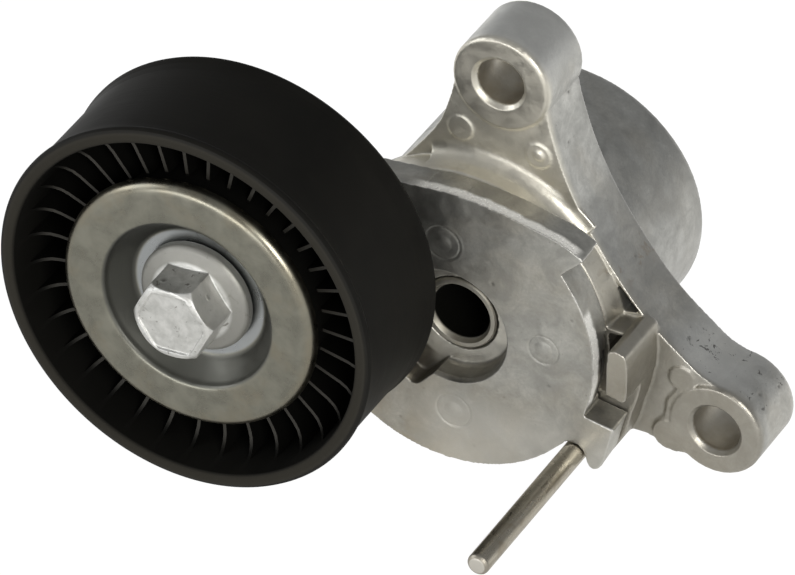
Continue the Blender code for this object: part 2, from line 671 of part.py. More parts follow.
# -------------------------------------------------------------------- bearing
def groove(side):
    """Raceway arc from front to rear; side is +1 on the outer ring, -1 on the inner."""
    points = []
    for i in range(GROOVE_STEPS + 1):
        angle = math.radians(-GROOVE_HALF_ANGLE + 2.0 * GROOVE_HALF_ANGLE * i / GROOVE_STEPS)
        points.append((BALL_PITCH_R + side * GROOVE_R * math.cos(angle),
                       BEARING_MID + GROOVE_R * math.sin(angle)))
    return points


def bearing_rings():
    front, rear = BEARING_FRONT, BEARING_REAR
    outer = [
        (OUTER_LAND_R, front), (BEARING_R - 0.4, front), (BEARING_R, front + 0.4),
        (BEARING_R, rear - 0.4), (BEARING_R - 0.4, rear), (OUTER_LAND_R, rear),
        (OUTER_LAND_R, rear - LAND_STEP), *reversed(groove(1)), (OUTER_LAND_R, front + LAND_STEP)]
    turned_part("bearing_outer_ring", "bearing_outer_steel", outer, 28, PULLEY_AXIS)
    inner = [
        (BEARING_BORE_R, front), (INNER_LAND_R, front), (INNER_LAND_R, front + LAND_STEP),
        *groove(-1), (INNER_LAND_R, rear - LAND_STEP), (INNER_LAND_R, rear),
        (BEARING_BORE_R, rear)]
    turned_part("bearing_inner_ring", "bearing_inner_steel", inner, 32, PULLEY_AXIS)


def ball_places():
    """Angle in radians and drawn centre of each ball."""
    places = []
    for i in range(BALL_COUNT):
        angle = math.radians(BALL_START + 360.0 * i / BALL_COUNT)
        places.append((angle, (PULLEY_AXIS[0] + BALL_PITCH_R * math.cos(angle), BEARING_MID,
                               PULLEY_AXIS[1] + BALL_PITCH_R * math.sin(angle))))
    return places


def balls():
    """Each ball has its own origin; its mesh carries the datum shift."""
    mat = material("ball_steel")
    for number, (_, centre) in enumerate(ball_places(), start=1):
        bm = bmesh.new()
        bmesh.ops.create_icosphere(bm, subdivisions=2, radius=BALL_R)
        ball = finish("ball_%d" % number, bm, mat, smooth=80.0)
        ball.location = [value * MM for value in centre]


def ball_cage():
    """Ring around the ball pitch circle with a radial pocket for each ball."""
    bm = bmesh.new()
    ring = rectangle(BALL_PITCH_R - CAGE_HALF_WALL, BALL_PITCH_R + CAGE_HALF_WALL,
                     BEARING_MID - CAGE_HALF_DEPTH, BEARING_MID + CAGE_HALF_DEPTH)
    lathe(bm, ring, 32, PULLEY_AXIS)
    cage = finish("ball_cage", bm)
    pocket_r = BALL_R + GAP + 0.1
    pockets = bmesh.new()
    for angle, centre in ball_places():
        made = bmesh.ops.create_cone(pockets, cap_ends=True, segments=10, radius1=pocket_r,
                                     radius2=pocket_r, depth=8.0)
        spin = (Matrix.Rotation(-angle, 4, 'Y')
                @ Matrix.Rotation(math.radians(90.0), 4, 'Y'))
        bmesh.ops.transform(pockets, matrix=Matrix.Translation(centre) @ spin,
                            verts=made["verts"])
    cut(cage, tool(pockets))
    tidy(cage, material("cage_polymer"))


def seals():
    front, rear = BEARING_FRONT + GAP, BEARING_REAR - GAP
    turned_part("front_seal", "seal_rubber",
                rectangle(SEAL_IN_R, SEAL_OUT_R, front, front + SEAL_DEPTH), 36, PULLEY_AXIS)
    turned_part("rear_seal", "rear_seal_rubber",
                rectangle(SEAL_IN_R, SEAL_OUT_R, rear - SEAL_DEPTH, rear), 36, PULLEY_AXIS)


# ------------------------------------------------------------ pulley hardware
def front_dust_cover():
    """Dished cover: front skin outwards, then rear skin back to the bore."""
    front_skin = [
        (4.4, -69.2), (11.9, -69.2), (12.7, -69.5), (15.9, -73.5), (16.9, -74.1),
        (22.4, -74.25), (23.2, -74.0), (23.7, -73.3), (23.75, -72.0)]
    rear_skin = [
        (23.0, -72.0), (22.95, -73.0), (22.4, -73.4), (17.0, -73.3), (16.3, -73.0),
        (13.2, -68.9), (12.2, -68.4), (4.4, -68.4)]
    turned_part("front_dust_cover", "cover_zinc_steel", front_skin + rear_skin, 48, PULLEY_AXIS)


def pulley_spacer():
    bore, outer, chamfer = BOLT_SHANK_R + GAP, BEARING_BORE_R - GAP, 0.3
    front, rear = BEARING_FRONT, BEARING_REAR
    profile = [
        (bore, front), (outer - chamfer, front), (outer, front + chamfer),
        (outer, rear - chamfer), (outer - chamfer, rear), (bore, rear)]
    turned_part("pulley_spacer", "spacer_steel", profile, 40, PULLEY_AXIS)


def rear_dust_shield():
    profile = [
        (4.4, -55.8), (17.4, -55.8), (18.9, -54.6), (18.6, -54.0), (17.1, -55.0), (4.4, -55.0)]
    turned_part("rear_dust_shield", "shield_steel", profile, 40, PULLEY_AXIS)


def hexagon(across_flats):
    """Hexagon outline on the bolt's axis."""
    corner_r = across_flats / math.sqrt(3.0)
    return arc(corner_r, BOLT_TURN, BOLT_TURN + 300.0, 5, PULLEY_AXIS)


def bolt_head():
    """Helper solid: hexagon whose front corners are trimmed round."""
    head = slab(hexagon(BOLT_FLATS + 0.2), BOLT_TOP, BOLT_FLANGE_FRONT + 0.6)
    trim = [
        (0.0, BOLT_TOP), (6.25, BOLT_TOP), (7.0, BOLT_TOP + 0.45), (7.75, BOLT_TOP + 1.6),
        (7.75, BOLT_FLANGE_FRONT + 2.0), (0.0, BOLT_FLANGE_FRONT + 2.0)]
    combine(head, turned(trim, 36, PULLEY_AXIS), 'INTERSECT')
    return head


def pulley_bolt():
    flange_and_shank = [
        (0.0, BOLT_FLANGE_FRONT - 1.1), (7.2, BOLT_FLANGE_FRONT - 1.1),
        (9.8, BOLT_FLANGE_FRONT - 0.15), (BOLT_FLANGE_R, BOLT_FLANGE_FRONT + 0.3),
        (BOLT_FLANGE_R, BOLT_FLANGE_BACK - 0.2), (BOLT_FLANGE_R - 0.2, BOLT_FLANGE_BACK),
        (BOLT_SHANK_R, BOLT_FLANGE_BACK), (BOLT_SHANK_R, BOLT_END - 0.8),
        (BOLT_SHANK_R - 0.8, BOLT_END), (0.0, BOLT_END)]
    bm = bmesh.new()
    lathe(bm, flange_and_shank, 40, PULLEY_AXIS)
    bolt = finish("pulley_bolt", bm)
    add(bolt, bolt_head())
    # shallow dish in the head inside a raised hexagonal border
    dish = rounded(hexagon(BOLT_FLATS - 1.9), 1.6, 3)
    cut(bolt, slab(dish, BOLT_TOP - 1.0, BOLT_TOP + 0.3))
    tidy(bolt, material("bolt_zinc"))


# ------------------------------------------------------------ pivot internals
def pivot_shaft():
    """Hollow shaft with a flared lip at the front."""
    profile = [
        (SHAFT_IN_R, -3.7), (SHAFT_R, -3.7), (SHAFT_R, -39.35), (SHAFT_LIP_R, -40.25),
        (SHAFT_LIP_R, -40.6), (SHAFT_LIP_R - 0.25, -40.9), (SHAFT_IN_R + 0.7, -40.9),
        (SHAFT_IN_R, -39.8)]
    turned_part("pivot_shaft", "shaft_steel", profile, 40)


def pivot_rings():
    """Bushes and thrust washer on the shaft, and the friction ring in the rim."""
    turned_part("front_bush", "bush_polymer",
                rectangle(BUSH_IN_R, BUSH_OUT_R, -37.9, -27.0), 32)
    turned_part("rear_bush", "rear_bush_polymer",
                rectangle(BUSH_IN_R, BUSH_OUT_R, -24.0, -13.5), 32)
    turned_part("thrust_washer", "thrust_washer_bronze",
                rectangle(BUSH_IN_R, 11.4, -12.7, -10.8), 32)
    outer = RIM_IN_R - GAP
    friction = [(20.6, -38.5), (outer, -38.5), (outer, -34.0), (22.4, -34.0), (20.6, -35.6)]
    turned_part("friction_ring", "friction_ring_polymer", friction, 40)


def spring_seat():
    """Open ring on the drum floor with a raised outer edge."""
    rear = DRUM_FLOOR - GAP
    profile = [(12.4, rear), (21.4, rear), (21.4, -7.2), (19.4, -7.2), (19.4, -6.2), (12.4, -6.2)]
    turned_part("spring_seat", "spring_seat_polymer", profile, 30, start=-70.0, sweep=300.0)


def torsion_spring():
    """Helical wire with flat ends."""
    bm = bmesh.new()
    rings = []
    for i in range(SPRING_STEPS + 1):
        t = i / SPRING_STEPS
        turn = math.radians(SPRING_START) + 2 * math.pi * SPRING_TURNS * t
        y = SPRING_REAR + (SPRING_FRONT - SPRING_REAR) * t
        ring = []
        for k in range(SPRING_SIDES):
            around = 2 * math.pi * k / SPRING_SIDES
            radius = SPRING_R + SPRING_WIRE_R * math.cos(around)
            ring.append(bm.verts.new((radius * math.cos(turn),
                                      y + SPRING_WIRE_R * math.sin(around),
                                      radius * math.sin(turn))))
        rings.append(ring)
    for here, there in zip(rings, rings[1:]):
        for k in range(SPRING_SIDES):
            m = (k + 1) % SPRING_SIDES
            bm.faces.new((here[k], there[k], there[m], here[m]))
    bm.faces.new(rings[0])
    bm.faces.new(list(reversed(rings[-1])))
    finish("torsion_spring", bm, material("spring_steel"), smooth=60.0)


def lock_pin():
    """Straight pin with a rounded front end and a tapered rear tip."""
    profile = [
        (0.0, PIN_FRONT), (PIN_R - 0.5, PIN_FRONT + 0.05), (PIN_R - 0.12, PIN_FRONT + 0.3),
        (PIN_R, PIN_FRONT + 0.7), (PIN_R, ARM_FRONT + 1.2), (1.2, ARM_FRONT + 5.4),
        (0.85, PIN_TIP), (0.0, PIN_TIP)]
    turned_part("lock_pin", "pin_steel", profile, 24, PIN_AXIS)


base_housing()
tensioner_arm()
pulley()
bearing_rings()
balls()
ball_cage()
seals()
front_dust_cover()
pulley_spacer()
rear_dust_shield()
pulley_bolt()
pivot_shaft()
pivot_rings()
spring_seat()
torsion_spring()
lock_pin()
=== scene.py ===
"""Belt tensioner idler: the detailed looks of its CAD pieces, with a floor, lights and camera.

The front is -Y, right is +X and up is +Z.  All axes run along Y: the pivot's through the
origin, the pulley's, bolt's and bearing's together beside it, and the lock pin's.

Castings are voxel-remeshed copies of the CAD solids with softened edges, a cast skin, trim
marks and small dents.  Turned, pressed and moulded pieces are rebuilt finer than the CAD
ones.  Sizes are in millimetres.  A depth is Y measured from the datum plane; meshes are
drawn in depths and moved by DATUM into the world, whose unit is the metre.
"""
import bpy
import bmesh
import math
import numpy as np
from functools import reduce
from itertools import product
from mathutils import Matrix, Vector


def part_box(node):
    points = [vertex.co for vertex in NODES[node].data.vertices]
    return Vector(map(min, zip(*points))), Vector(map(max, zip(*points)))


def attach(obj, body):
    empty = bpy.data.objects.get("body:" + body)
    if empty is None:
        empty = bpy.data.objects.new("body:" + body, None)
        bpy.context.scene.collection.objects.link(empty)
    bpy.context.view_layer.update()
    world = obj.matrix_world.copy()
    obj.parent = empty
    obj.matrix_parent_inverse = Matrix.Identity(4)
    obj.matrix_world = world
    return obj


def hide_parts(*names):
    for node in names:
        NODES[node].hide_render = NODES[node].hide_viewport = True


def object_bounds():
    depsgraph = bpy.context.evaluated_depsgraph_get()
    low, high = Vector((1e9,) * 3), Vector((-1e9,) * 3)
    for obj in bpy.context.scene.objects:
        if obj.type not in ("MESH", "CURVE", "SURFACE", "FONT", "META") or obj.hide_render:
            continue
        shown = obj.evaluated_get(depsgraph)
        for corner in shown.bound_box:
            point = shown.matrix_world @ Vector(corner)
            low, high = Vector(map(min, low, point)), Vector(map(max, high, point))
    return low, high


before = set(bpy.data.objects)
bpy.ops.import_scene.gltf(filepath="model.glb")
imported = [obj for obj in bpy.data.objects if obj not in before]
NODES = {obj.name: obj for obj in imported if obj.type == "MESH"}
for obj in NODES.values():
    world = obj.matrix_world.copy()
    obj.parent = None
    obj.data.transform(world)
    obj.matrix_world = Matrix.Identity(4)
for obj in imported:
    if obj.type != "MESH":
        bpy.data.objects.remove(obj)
CAD_LO, CAD_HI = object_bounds()
MM = 0.001

# The datum plane lies 1.5 mm in front of the rear of the base.
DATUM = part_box("base_housing")[1].y / MM - 1.5


def place(node):
    """Axis (x, z), front depth, rear depth and radius of a round node."""
    low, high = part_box(node)
    axis = ((low.x + high.x) / 2 / MM, (low.z + high.z) / 2 / MM)
    return axis, low.y / MM - DATUM, high.y / MM - DATUM, (high.x - low.x) / 2 / MM


PIVOT_AXIS = (0.0, 0.0)
PULLEY_AXIS, PULLEY_FRONT, PULLEY_REAR, PULLEY_RADIUS = place("pulley")
BEARING_FRONT, BEARING_REAR, BEARING_RADIUS = place("bearing_outer_ring")[1:]
PIN_AXIS, PIN_FRONT, PIN_TIP, PIN_RADIUS = place("lock_pin")

ARM_FACE = -45.0                              # depth of the front of the arm's disc
EAR_FACE = -34.4                              # depth of the flat seats on the base's ears
BASE_HOLES = ((3.8, 44.1), (44.8, -13.2))     # axes of the holes: upper ear, right ear


# --------------------------------------------------------------- noise fields
def lattice(ix, iy, iz, seed):
    """Hashed value, 0 to 1, of whole-numbered lattice points."""
    mixed = (ix * 73856093) ^ (iy * 19349663) ^ (iz * 83492791) ^ (seed * 40503)
    mixed = mixed & 0xFFFFFFFF
    mixed = ((mixed ^ (mixed >> 13)) * 1274126177) & 0xFFFFFFFF
    mixed = ((mixed ^ (mixed >> 15)) * 668265263) & 0xFFFFFFFF
    return ((mixed ^ (mixed >> 16)) & 0xFFFF) / 65535.0


def value_noise(points, seed):
    """Smooth noise, -1 to 1, of an N x 3 array of points."""
    cell = np.floor(points).astype(np.int64)
    part = points - cell
    eased = part * part * part * (part * (part * 6 - 15) + 10)
    total = np.zeros(len(points))
    for corner in product((0, 1), repeat=3):
        weight = np.where(corner, eased, 1 - eased)
        value = lattice(*(cell + corner).T, seed)
        total += weight[:, 0] * weight[:, 1] * weight[:, 2] * value
    return total * 2 - 1


def layered_noise(points, octaves, seed):
    """Value noise summed over octaves that halve in size and strength."""
    total, strength, full = np.zeros(len(points)), 1.0, 0.0
    for k in range(octaves):
        total += strength * value_noise(points * 2 ** k + 17.3 * k, seed + k)
        full += strength
        strength *= 0.5
    return total / full


def smooth(values, start, end):
    """Smoothstep from 0 at start to 1 at end."""
    t = np.clip((values - start) / (end - start), 0.0, 1.0)
    return t * t * (3 - 2 * t)


# --------------------------------------------------------------- mesh helpers
def shade_smooth(bm, angle):
    """Smooth faces, with sharp edges where they meet at more than angle degrees."""
    limit = math.radians(angle)
    for face in bm.faces:
        face.smooth = True
    for edge in bm.edges:
        edge.smooth = len(edge.link_faces) != 2 or edge.calc_face_angle(0.0) < limit


def link(name, mesh):
    ob = bpy.data.objects.new(name, mesh)
    bpy.context.scene.collection.objects.link(ob)
    return ob


def make_object(name, bm, material, angle=40.0):
    """World object from a bmesh drawn in millimetres and depths."""
    bmesh.ops.remove_doubles(bm, verts=bm.verts, dist=0.0005)
    bmesh.ops.recalc_face_normals(bm, faces=bm.faces)
    bmesh.ops.translate(bm, vec=(0.0, DATUM, 0.0), verts=bm.verts)
    bmesh.ops.scale(bm, vec=(MM, MM, MM), verts=bm.verts)
    shade_smooth(bm, angle)
    mesh = bpy.data.meshes.new(name)
    bm.to_mesh(mesh)
    bm.free()
    mesh.materials.append(material)
    return link(name, mesh)


def register(ob, node, body):
    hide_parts(node)
    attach(ob, body)


def rounded(points, radii, steps):
    """Closed outline with its corners rounded, one radius to a point."""
    out = []
    count = len(points)
    for i in range(count):
        corner = Vector(points[i])
        before = Vector(points[i - 1]) - corner
        after = Vector(points[(i + 1) % count]) - corner
        if radii[i] <= 0.0 or before.length < 1e-6 or after.length < 1e-6:
            out.append(tuple(corner))
            continue
        angle = before.angle(after)
        if angle > math.radians(176.0):
            out.append(tuple(corner))
            continue
        # the curve takes at most 45% of each side
        cut = min(radii[i] / math.tan(angle / 2.0), before.length * 0.45, after.length * 0.45)
        start = corner + before.normalized() * cut
        end = corner + after.normalized() * cut
        for k in range(steps + 1):
            t = k / steps
            point = start * (1 - t) ** 2 + corner * 2 * t * (1 - t) + end * t * t
            out.append((point.x, point.y))
    return out


def soft(profile, radius=0.18, steps=3):
    """Rounds a lathe profile's corners, leaving points on the axis."""
    return rounded(profile, [0.0 if point[0] < 1e-6 else radius for point in profile], steps)


def oval_arc(centre, half_radius, half_depth, step, count, start=0.0):
    """Points of an oval, by angles in degrees from its depth axis."""
    angles = [math.radians(start + step * k) for k in range(count)]
    return [(centre[0] + half_radius * math.sin(t), centre[1] + half_depth * math.cos(t))
            for t in angles]


def lathe(bm, profile, segments, axis, start=0.0, sweep=360.0):
    """Turns a closed profile of (radius, depth) points round an axis (x, z)."""
    full = sweep == 360.0
    rings = []
    for i in range(segments if full else segments + 1):
        a = math.radians(start + sweep * i / segments)
        ring = []
        for radius, depth in profile:
            if radius < 1e-6 and rings:
                ring.append(rings[0][len(ring)])
            else:
                ring.append(bm.verts.new((axis[0] + radius * math.cos(a), depth,
                                          axis[1] + radius * math.sin(a))))
        rings.append(ring)
    count = len(profile)
    for i in range(segments):
        ring, following = rings[i], rings[(i + 1) % len(rings)]
        for j in range(count):
            k = (j + 1) % count
            corners = []
            for vert in (ring[j], ring[k], following[k], following[j]):
                if vert not in corners:
                    corners.append(vert)
            if len(corners) >= 3:
                bm.faces.new(corners)
    if not full:
        bm.faces.new(rings[0])
        bm.faces.new(rings[-1])


def bridge(bm, first, second):
    """Solid between two matching rings of vertices: both caps and the sides."""
    bm.faces.new(first)
    bm.faces.new(list(reversed(second)))
    for i in range(len(first)):
        j = (i + 1) % len(first)
        bm.faces.new((first[j], first[i], second[i], second[j]))


def prism(bm, outline, front, rear):
    """Solid with an (x, z) outline between two depths."""
    bridge(bm, [bm.verts.new((x, front, z)) for x, z in outline],
           [bm.verts.new((x, rear, z)) for x, z in outline])


def turned_piece(name, node, slot, body, profile, material, axis=PULLEY_AXIS, segments=144,
                 angle=40.0, **arc):
    bm = bmesh.new()
    lathe(bm, profile, segments, axis, **arc)
    register(make_object(name, bm, material, angle), node, body)


def evaluated(ob):
    graph = bpy.context.evaluated_depsgraph_get()
    return bpy.data.meshes.new_from_object(ob.evaluated_get(graph))


def combine_with(ob, other, operation):
    """Applies a boolean with another object, then removes that object."""
    mod = ob.modifiers.new("boolean", 'BOOLEAN')
    mod.operation, mod.solver, mod.object = operation, 'EXACT', other
    mesh = evaluated(ob)
    ob.modifiers.clear()
    ob.data = mesh
    bpy.data.objects.remove(other, do_unlink=True)


def boolean(ob, builder, operation):
    """Applies a boolean with the solid that builder draws into a bmesh."""
    bm = bmesh.new()
    builder(bm)
    combine_with(ob, make_object("tool", bm, ob.data.materials[0]), operation)


class Skin:
    """A voxel-remeshed surface held as arrays, in world millimetres."""

    def __init__(self, source, voxel):
        bm = bmesh.new()
        bm.from_mesh(source)
        bmesh.ops.remove_doubles(bm, verts=bm.verts, dist=2e-7)
        mesh = bpy.data.meshes.new("skin_source")
        bm.to_mesh(mesh)
        bm.free()
        ob = link("skin_source", mesh)
        mod = ob.modifiers.new("remesh", 'REMESH')
        mod.mode, mod.voxel_size, mod.adaptivity = 'VOXEL', voxel * MM, 0.0
        self.mesh = evaluated(ob)
        bpy.data.objects.remove(ob, do_unlink=True)
        count = len(self.mesh.vertices)
        places = np.empty(count * 3, np.float32)
        self.mesh.vertices.foreach_get("co", places)
        self.co = places.reshape(-1, 3).astype(float) / MM
        edges = np.empty(len(self.mesh.edges) * 2, np.int32)
        self.mesh.edges.foreach_get("vertices", edges)
        self.edges = edges.reshape(-1, 2)
        self.neighbours = np.bincount(self.edges.ravel(), minlength=count).astype(float)
        self.neighbours[self.neighbours == 0] = 1

    def average(self, values):
        """Mean of each vertex's neighbours."""
        table = values if values.ndim == 2 else values[:, None]
        a, b = self.edges[:, 0], self.edges[:, 1]
        out = np.empty_like(table)
        for k in range(table.shape[1]):
            total = (np.bincount(a, table[b, k], len(table))
                     + np.bincount(b, table[a, k], len(table)))
            out[:, k] = total / self.neighbours
        return out if values.ndim == 2 else out[:, 0]

    def relax(self, rounds=3, shrink=0.5, swell=-0.52):
        """Softens the voxel steps with hardly any shrinking."""
        for _ in range(rounds):
            self.co += shrink * (self.average(self.co) - self.co)
            self.co += swell * (self.average(self.co) - self.co)

    def settle(self, rounds=16, sharp=0.030):
        """Evens out faceting on broad surfaces and holds the edges."""
        free = np.clip(1.0 - np.abs(self.curvature()) / sharp, 0.0, 1.0)
        free = np.minimum(free, self.average(free))[:, None]
        for _ in range(rounds):
            self.co += 0.5 * free * (self.average(self.co) - self.co)

    def turn(self, axis, profile, tolerance=0.09):
        """Brings a turned surface onto its true radius; profile is (depth, radius) pairs."""
        depths = np.array([point[0] for point in profile]) + DATUM
        radii = np.array([point[1] for point in profile])
        dx, dz = self.co[:, 0] - axis[0], self.co[:, 2] - axis[1]
        dist = np.hypot(dx, dz)
        want = np.interp(self.co[:, 1], depths, radii)
        normals = self.normals()
        radial = (normals[:, 0] * dx + normals[:, 2] * dz) / np.maximum(dist, 1e-6)
        on = (np.abs(dist - want) < tolerance) & (np.abs(radial) > 0.82)
        on &= (self.co[:, 1] > depths[0]) & (self.co[:, 1] < depths[-1])
        factor = np.where(on, want / np.maximum(dist, 1e-6), 1.0)
        self.co[:, 0] = axis[0] + dx * factor
        self.co[:, 2] = axis[1] + dz * factor

    def distance(self, axis):
        return np.hypot(self.co[:, 0] - axis[0], self.co[:, 2] - axis[1])

    def angle(self):
        """Degrees round the pivot from +X towards +Z."""
        return np.degrees(np.arctan2(self.co[:, 2], self.co[:, 0]))

    def normals(self):
        self.push()
        normals = np.empty(len(self.co) * 3, np.float32)
        self.mesh.vertex_normals.foreach_get("vector", normals)
        return normals.reshape(-1, 3).astype(float)

    def push(self):
        self.mesh.vertices.foreach_set("co", (self.co * MM).astype(np.float32).ravel())
        self.mesh.update()

    def curvature(self):
        """Positive on outer corners, negative in inner ones, in millimetres."""
        smoothed = self.co.copy()
        for _ in range(4):
            smoothed += 0.6 * (self.average(smoothed) - smoothed)
        return ((self.co - smoothed) * self.normals()).sum(1)

    def corner_masks(self):
        """Outer-corner and inner-corner masks, 0 to 1."""
        bend = self.curvature()
        return np.clip((bend - 0.012) / 0.055, 0.0, 1.0), np.clip((-bend - 0.02) / 0.10, 0.0, 1.0)

    def worn(self, edge, seed):
        """Breaks up the edge mask so that it isn't an even line."""
        patches = 0.5 + 0.5 * layered_noise(self.co * 0.55, 3, seed)
        return np.clip(edge * (0.35 + 0.9 * patches), 0.0, 1.0)

    def dent(self, places, normals):
        """Shallow round knocks of (x, y, z, radius, depth); returns their mask."""
        mask = np.zeros(len(self.co))
        for x, y, z, radius, depth in places:
            offset = self.co - np.array([x, y, z])
            weight = np.clip(1 - np.sqrt((offset * offset).sum(1)) / radius, 0, 1)
            weight = weight * weight * (3 - 2 * weight)
            self.co -= normals * (weight * depth)[:, None]
            mask = np.maximum(mask, weight)
        return mask

    def finish(self, name, material, **masks):
        """Object from the surface, with each mask stored as a vertex attribute."""
        for key, values in masks.items():
            layer = self.mesh.attributes.new(key, 'FLOAT', 'POINT')
            layer.data.foreach_set("value", values.astype(np.float32))
        self.push()
        self.mesh.name = name
        self.mesh.materials.clear()
        self.mesh.materials.append(material)
        self.mesh.polygons.foreach_set("use_smooth", np.ones(len(self.mesh.polygons), bool))
        self.mesh.update()
        return link(name, self.mesh)


# ------------------------------------------------------------ material helpers
MIDDLE = (0.3, 0.7)      # the part of a noise's range where it mostly varies
FALL = (1.0, 0.0)        # a ramp from full to nothing


def shade(colour, factor):
    return tuple(min(1.0, channel * factor) for channel in colour)


class MaterialGraph:
    """Builds a Principled node tree; colour, rough and normal hold its current inputs."""

    def __init__(self, name):
        self.material = bpy.data.materials.new(name)
        self.material.use_nodes = True
        self.tree = self.material.node_tree
        self.principled = self.tree.nodes["Principled BSDF"]
        self.coords = self.node("ShaderNodeTexCoord").outputs

    def node(self, kind):
        return self.tree.nodes.new(kind)

    def set(self, socket, value):
        """Links an output or sets a value."""
        if isinstance(value, bpy.types.NodeSocket):
            self.tree.links.new(value, socket)
        elif isinstance(value, (tuple, list)) and len(value) == 3 and socket.type == 'RGBA':
            socket.default_value = (*value, 1.0)
        else:
            socket.default_value = value

    def noise(self, scale, detail=4.0, rough=0.55, warp=0.0, vector=None):
        node = self.node("ShaderNodeTexNoise")
        self.set(node.inputs["Vector"], vector or self.coords["Object"])
        node.inputs["Scale"].default_value = scale
        node.inputs["Detail"].default_value = detail
        node.inputs["Roughness"].default_value = rough
        node.inputs["Distortion"].default_value = warp
        return node.outputs[0]

    def voronoi(self, scale):
        node = self.node("ShaderNodeTexVoronoi")
        self.set(node.inputs["Vector"], self.coords["Object"])
        node.inputs["Scale"].default_value = scale
        return node.outputs["Distance"]

    def ramp(self, value, span=MIDDLE, to=(0.0, 1.0)):
        """Smoothstep of a value over a span to a pair of results."""
        node = self.node("ShaderNodeMapRange")
        node.interpolation_type = 'SMOOTHSTEP'
        for k, number in enumerate((value, *span, *to)):
            self.set(node.inputs[k], number)
        return node.outputs[0]

    def ramp_mm(self, value, span, to=(0.0, 1.0)):
        """Ramp of a length, its span in millimetres."""
        return self.ramp(value, [end * MM for end in span], to)

    def ramp_depth(self, y, span, to=(0.0, 1.0)):
        """Ramp of Y, its span in depths."""
        return self.ramp(y, [(end + DATUM) * MM for end in span], to)

    def mix(self, factor, a, b):
        node = self.node("ShaderNodeMix")
        node.data_type = 'RGBA'
        node.clamp_factor = True
        for k, value in ((0, factor), (6, a), (7, b)):
            self.set(node.inputs[k], value)
        return node.outputs[2]

    def math(self, operation, a, b=0.0):
        node = self.node("ShaderNodeMath")
        node.operation = operation
        for k, value in enumerate((a, b, 0.0)):
            self.set(node.inputs[k], value)
        return node.outputs[0]

    def add(self, a, b):
        return self.math('ADD', a, b)

    def sub(self, a, b):
        return self.math('SUBTRACT', a, b)

    def mul(self, *factors):
        return reduce(lambda a, b: self.math('MULTIPLY', a, b), factors)

    def weighted(self, *terms):
        """Sum of (value, weight) terms."""
        return reduce(self.add, [self.mul(*term) for term in terms])

    def attribute(self, name):
        node = self.node("ShaderNodeAttribute")
        node.attribute_name = name
        return node.outputs["Fac"]

    def xyz(self, source="Object"):
        node = self.node("ShaderNodeSeparateXYZ")
        self.set(node.inputs[0], self.coords[source])
        return tuple(node.outputs)

    def vector(self, *parts):
        node = self.node("ShaderNodeCombineXYZ")
        for k, value in enumerate(parts):
            self.set(node.inputs[k], value)
        return node.outputs[0]

    def polar(self, axis):
        """Distance from an axis along Y, then y, then the offsets (dz, dx), in metres."""
        x, y, z = self.xyz()
        dx = self.sub(x, axis[0] * MM)
        dz = self.sub(z, axis[1] * MM)
        radius = self.math('SQRT', self.add(self.mul(dx, dx), self.mul(dz, dz)))
        return radius, y, (dz, dx)

    def spot(self, axis, span):
        """1 inside a disc round a Y axis, fading out between two radii."""
        return self.ramp_mm(self.polar(axis)[0], span, FALL)

    def bump(self, height, strength, size, under=None):
        """Bump of a size in millimetres, over an earlier normal if there is one."""
        node = self.node("ShaderNodeBump")
        node.inputs["Strength"].default_value = strength
        node.inputs["Distance"].default_value = size * MM
        self.set(node.inputs["Height"], height)
        if under is not None:
            self.set(node.inputs["Normal"], under)
        return node.outputs[0]

    def ground(self, pattern, low, high):
        """First colour, between two along a pattern."""
        self.colour = self.mix(self.ramp(pattern), low, high)

    def layer(self, colour, *masks):
        """Lays a colour over the current one by the product of the masks."""
        self.colour = self.mix(self.mul(*masks), self.colour, colour)

    def done(self, metallic, **more):
        """Fills the Principled inputs and returns the material."""
        inputs = {"Base Color": self.colour, "Metallic": metallic, "Roughness": self.rough,
                  "Normal": self.normal}
        inputs.update({key.replace("_", " "): value for key, value in more.items()})
        for key, value in inputs.items():
            self.set(self.principled.inputs[key], value)
        return self.material


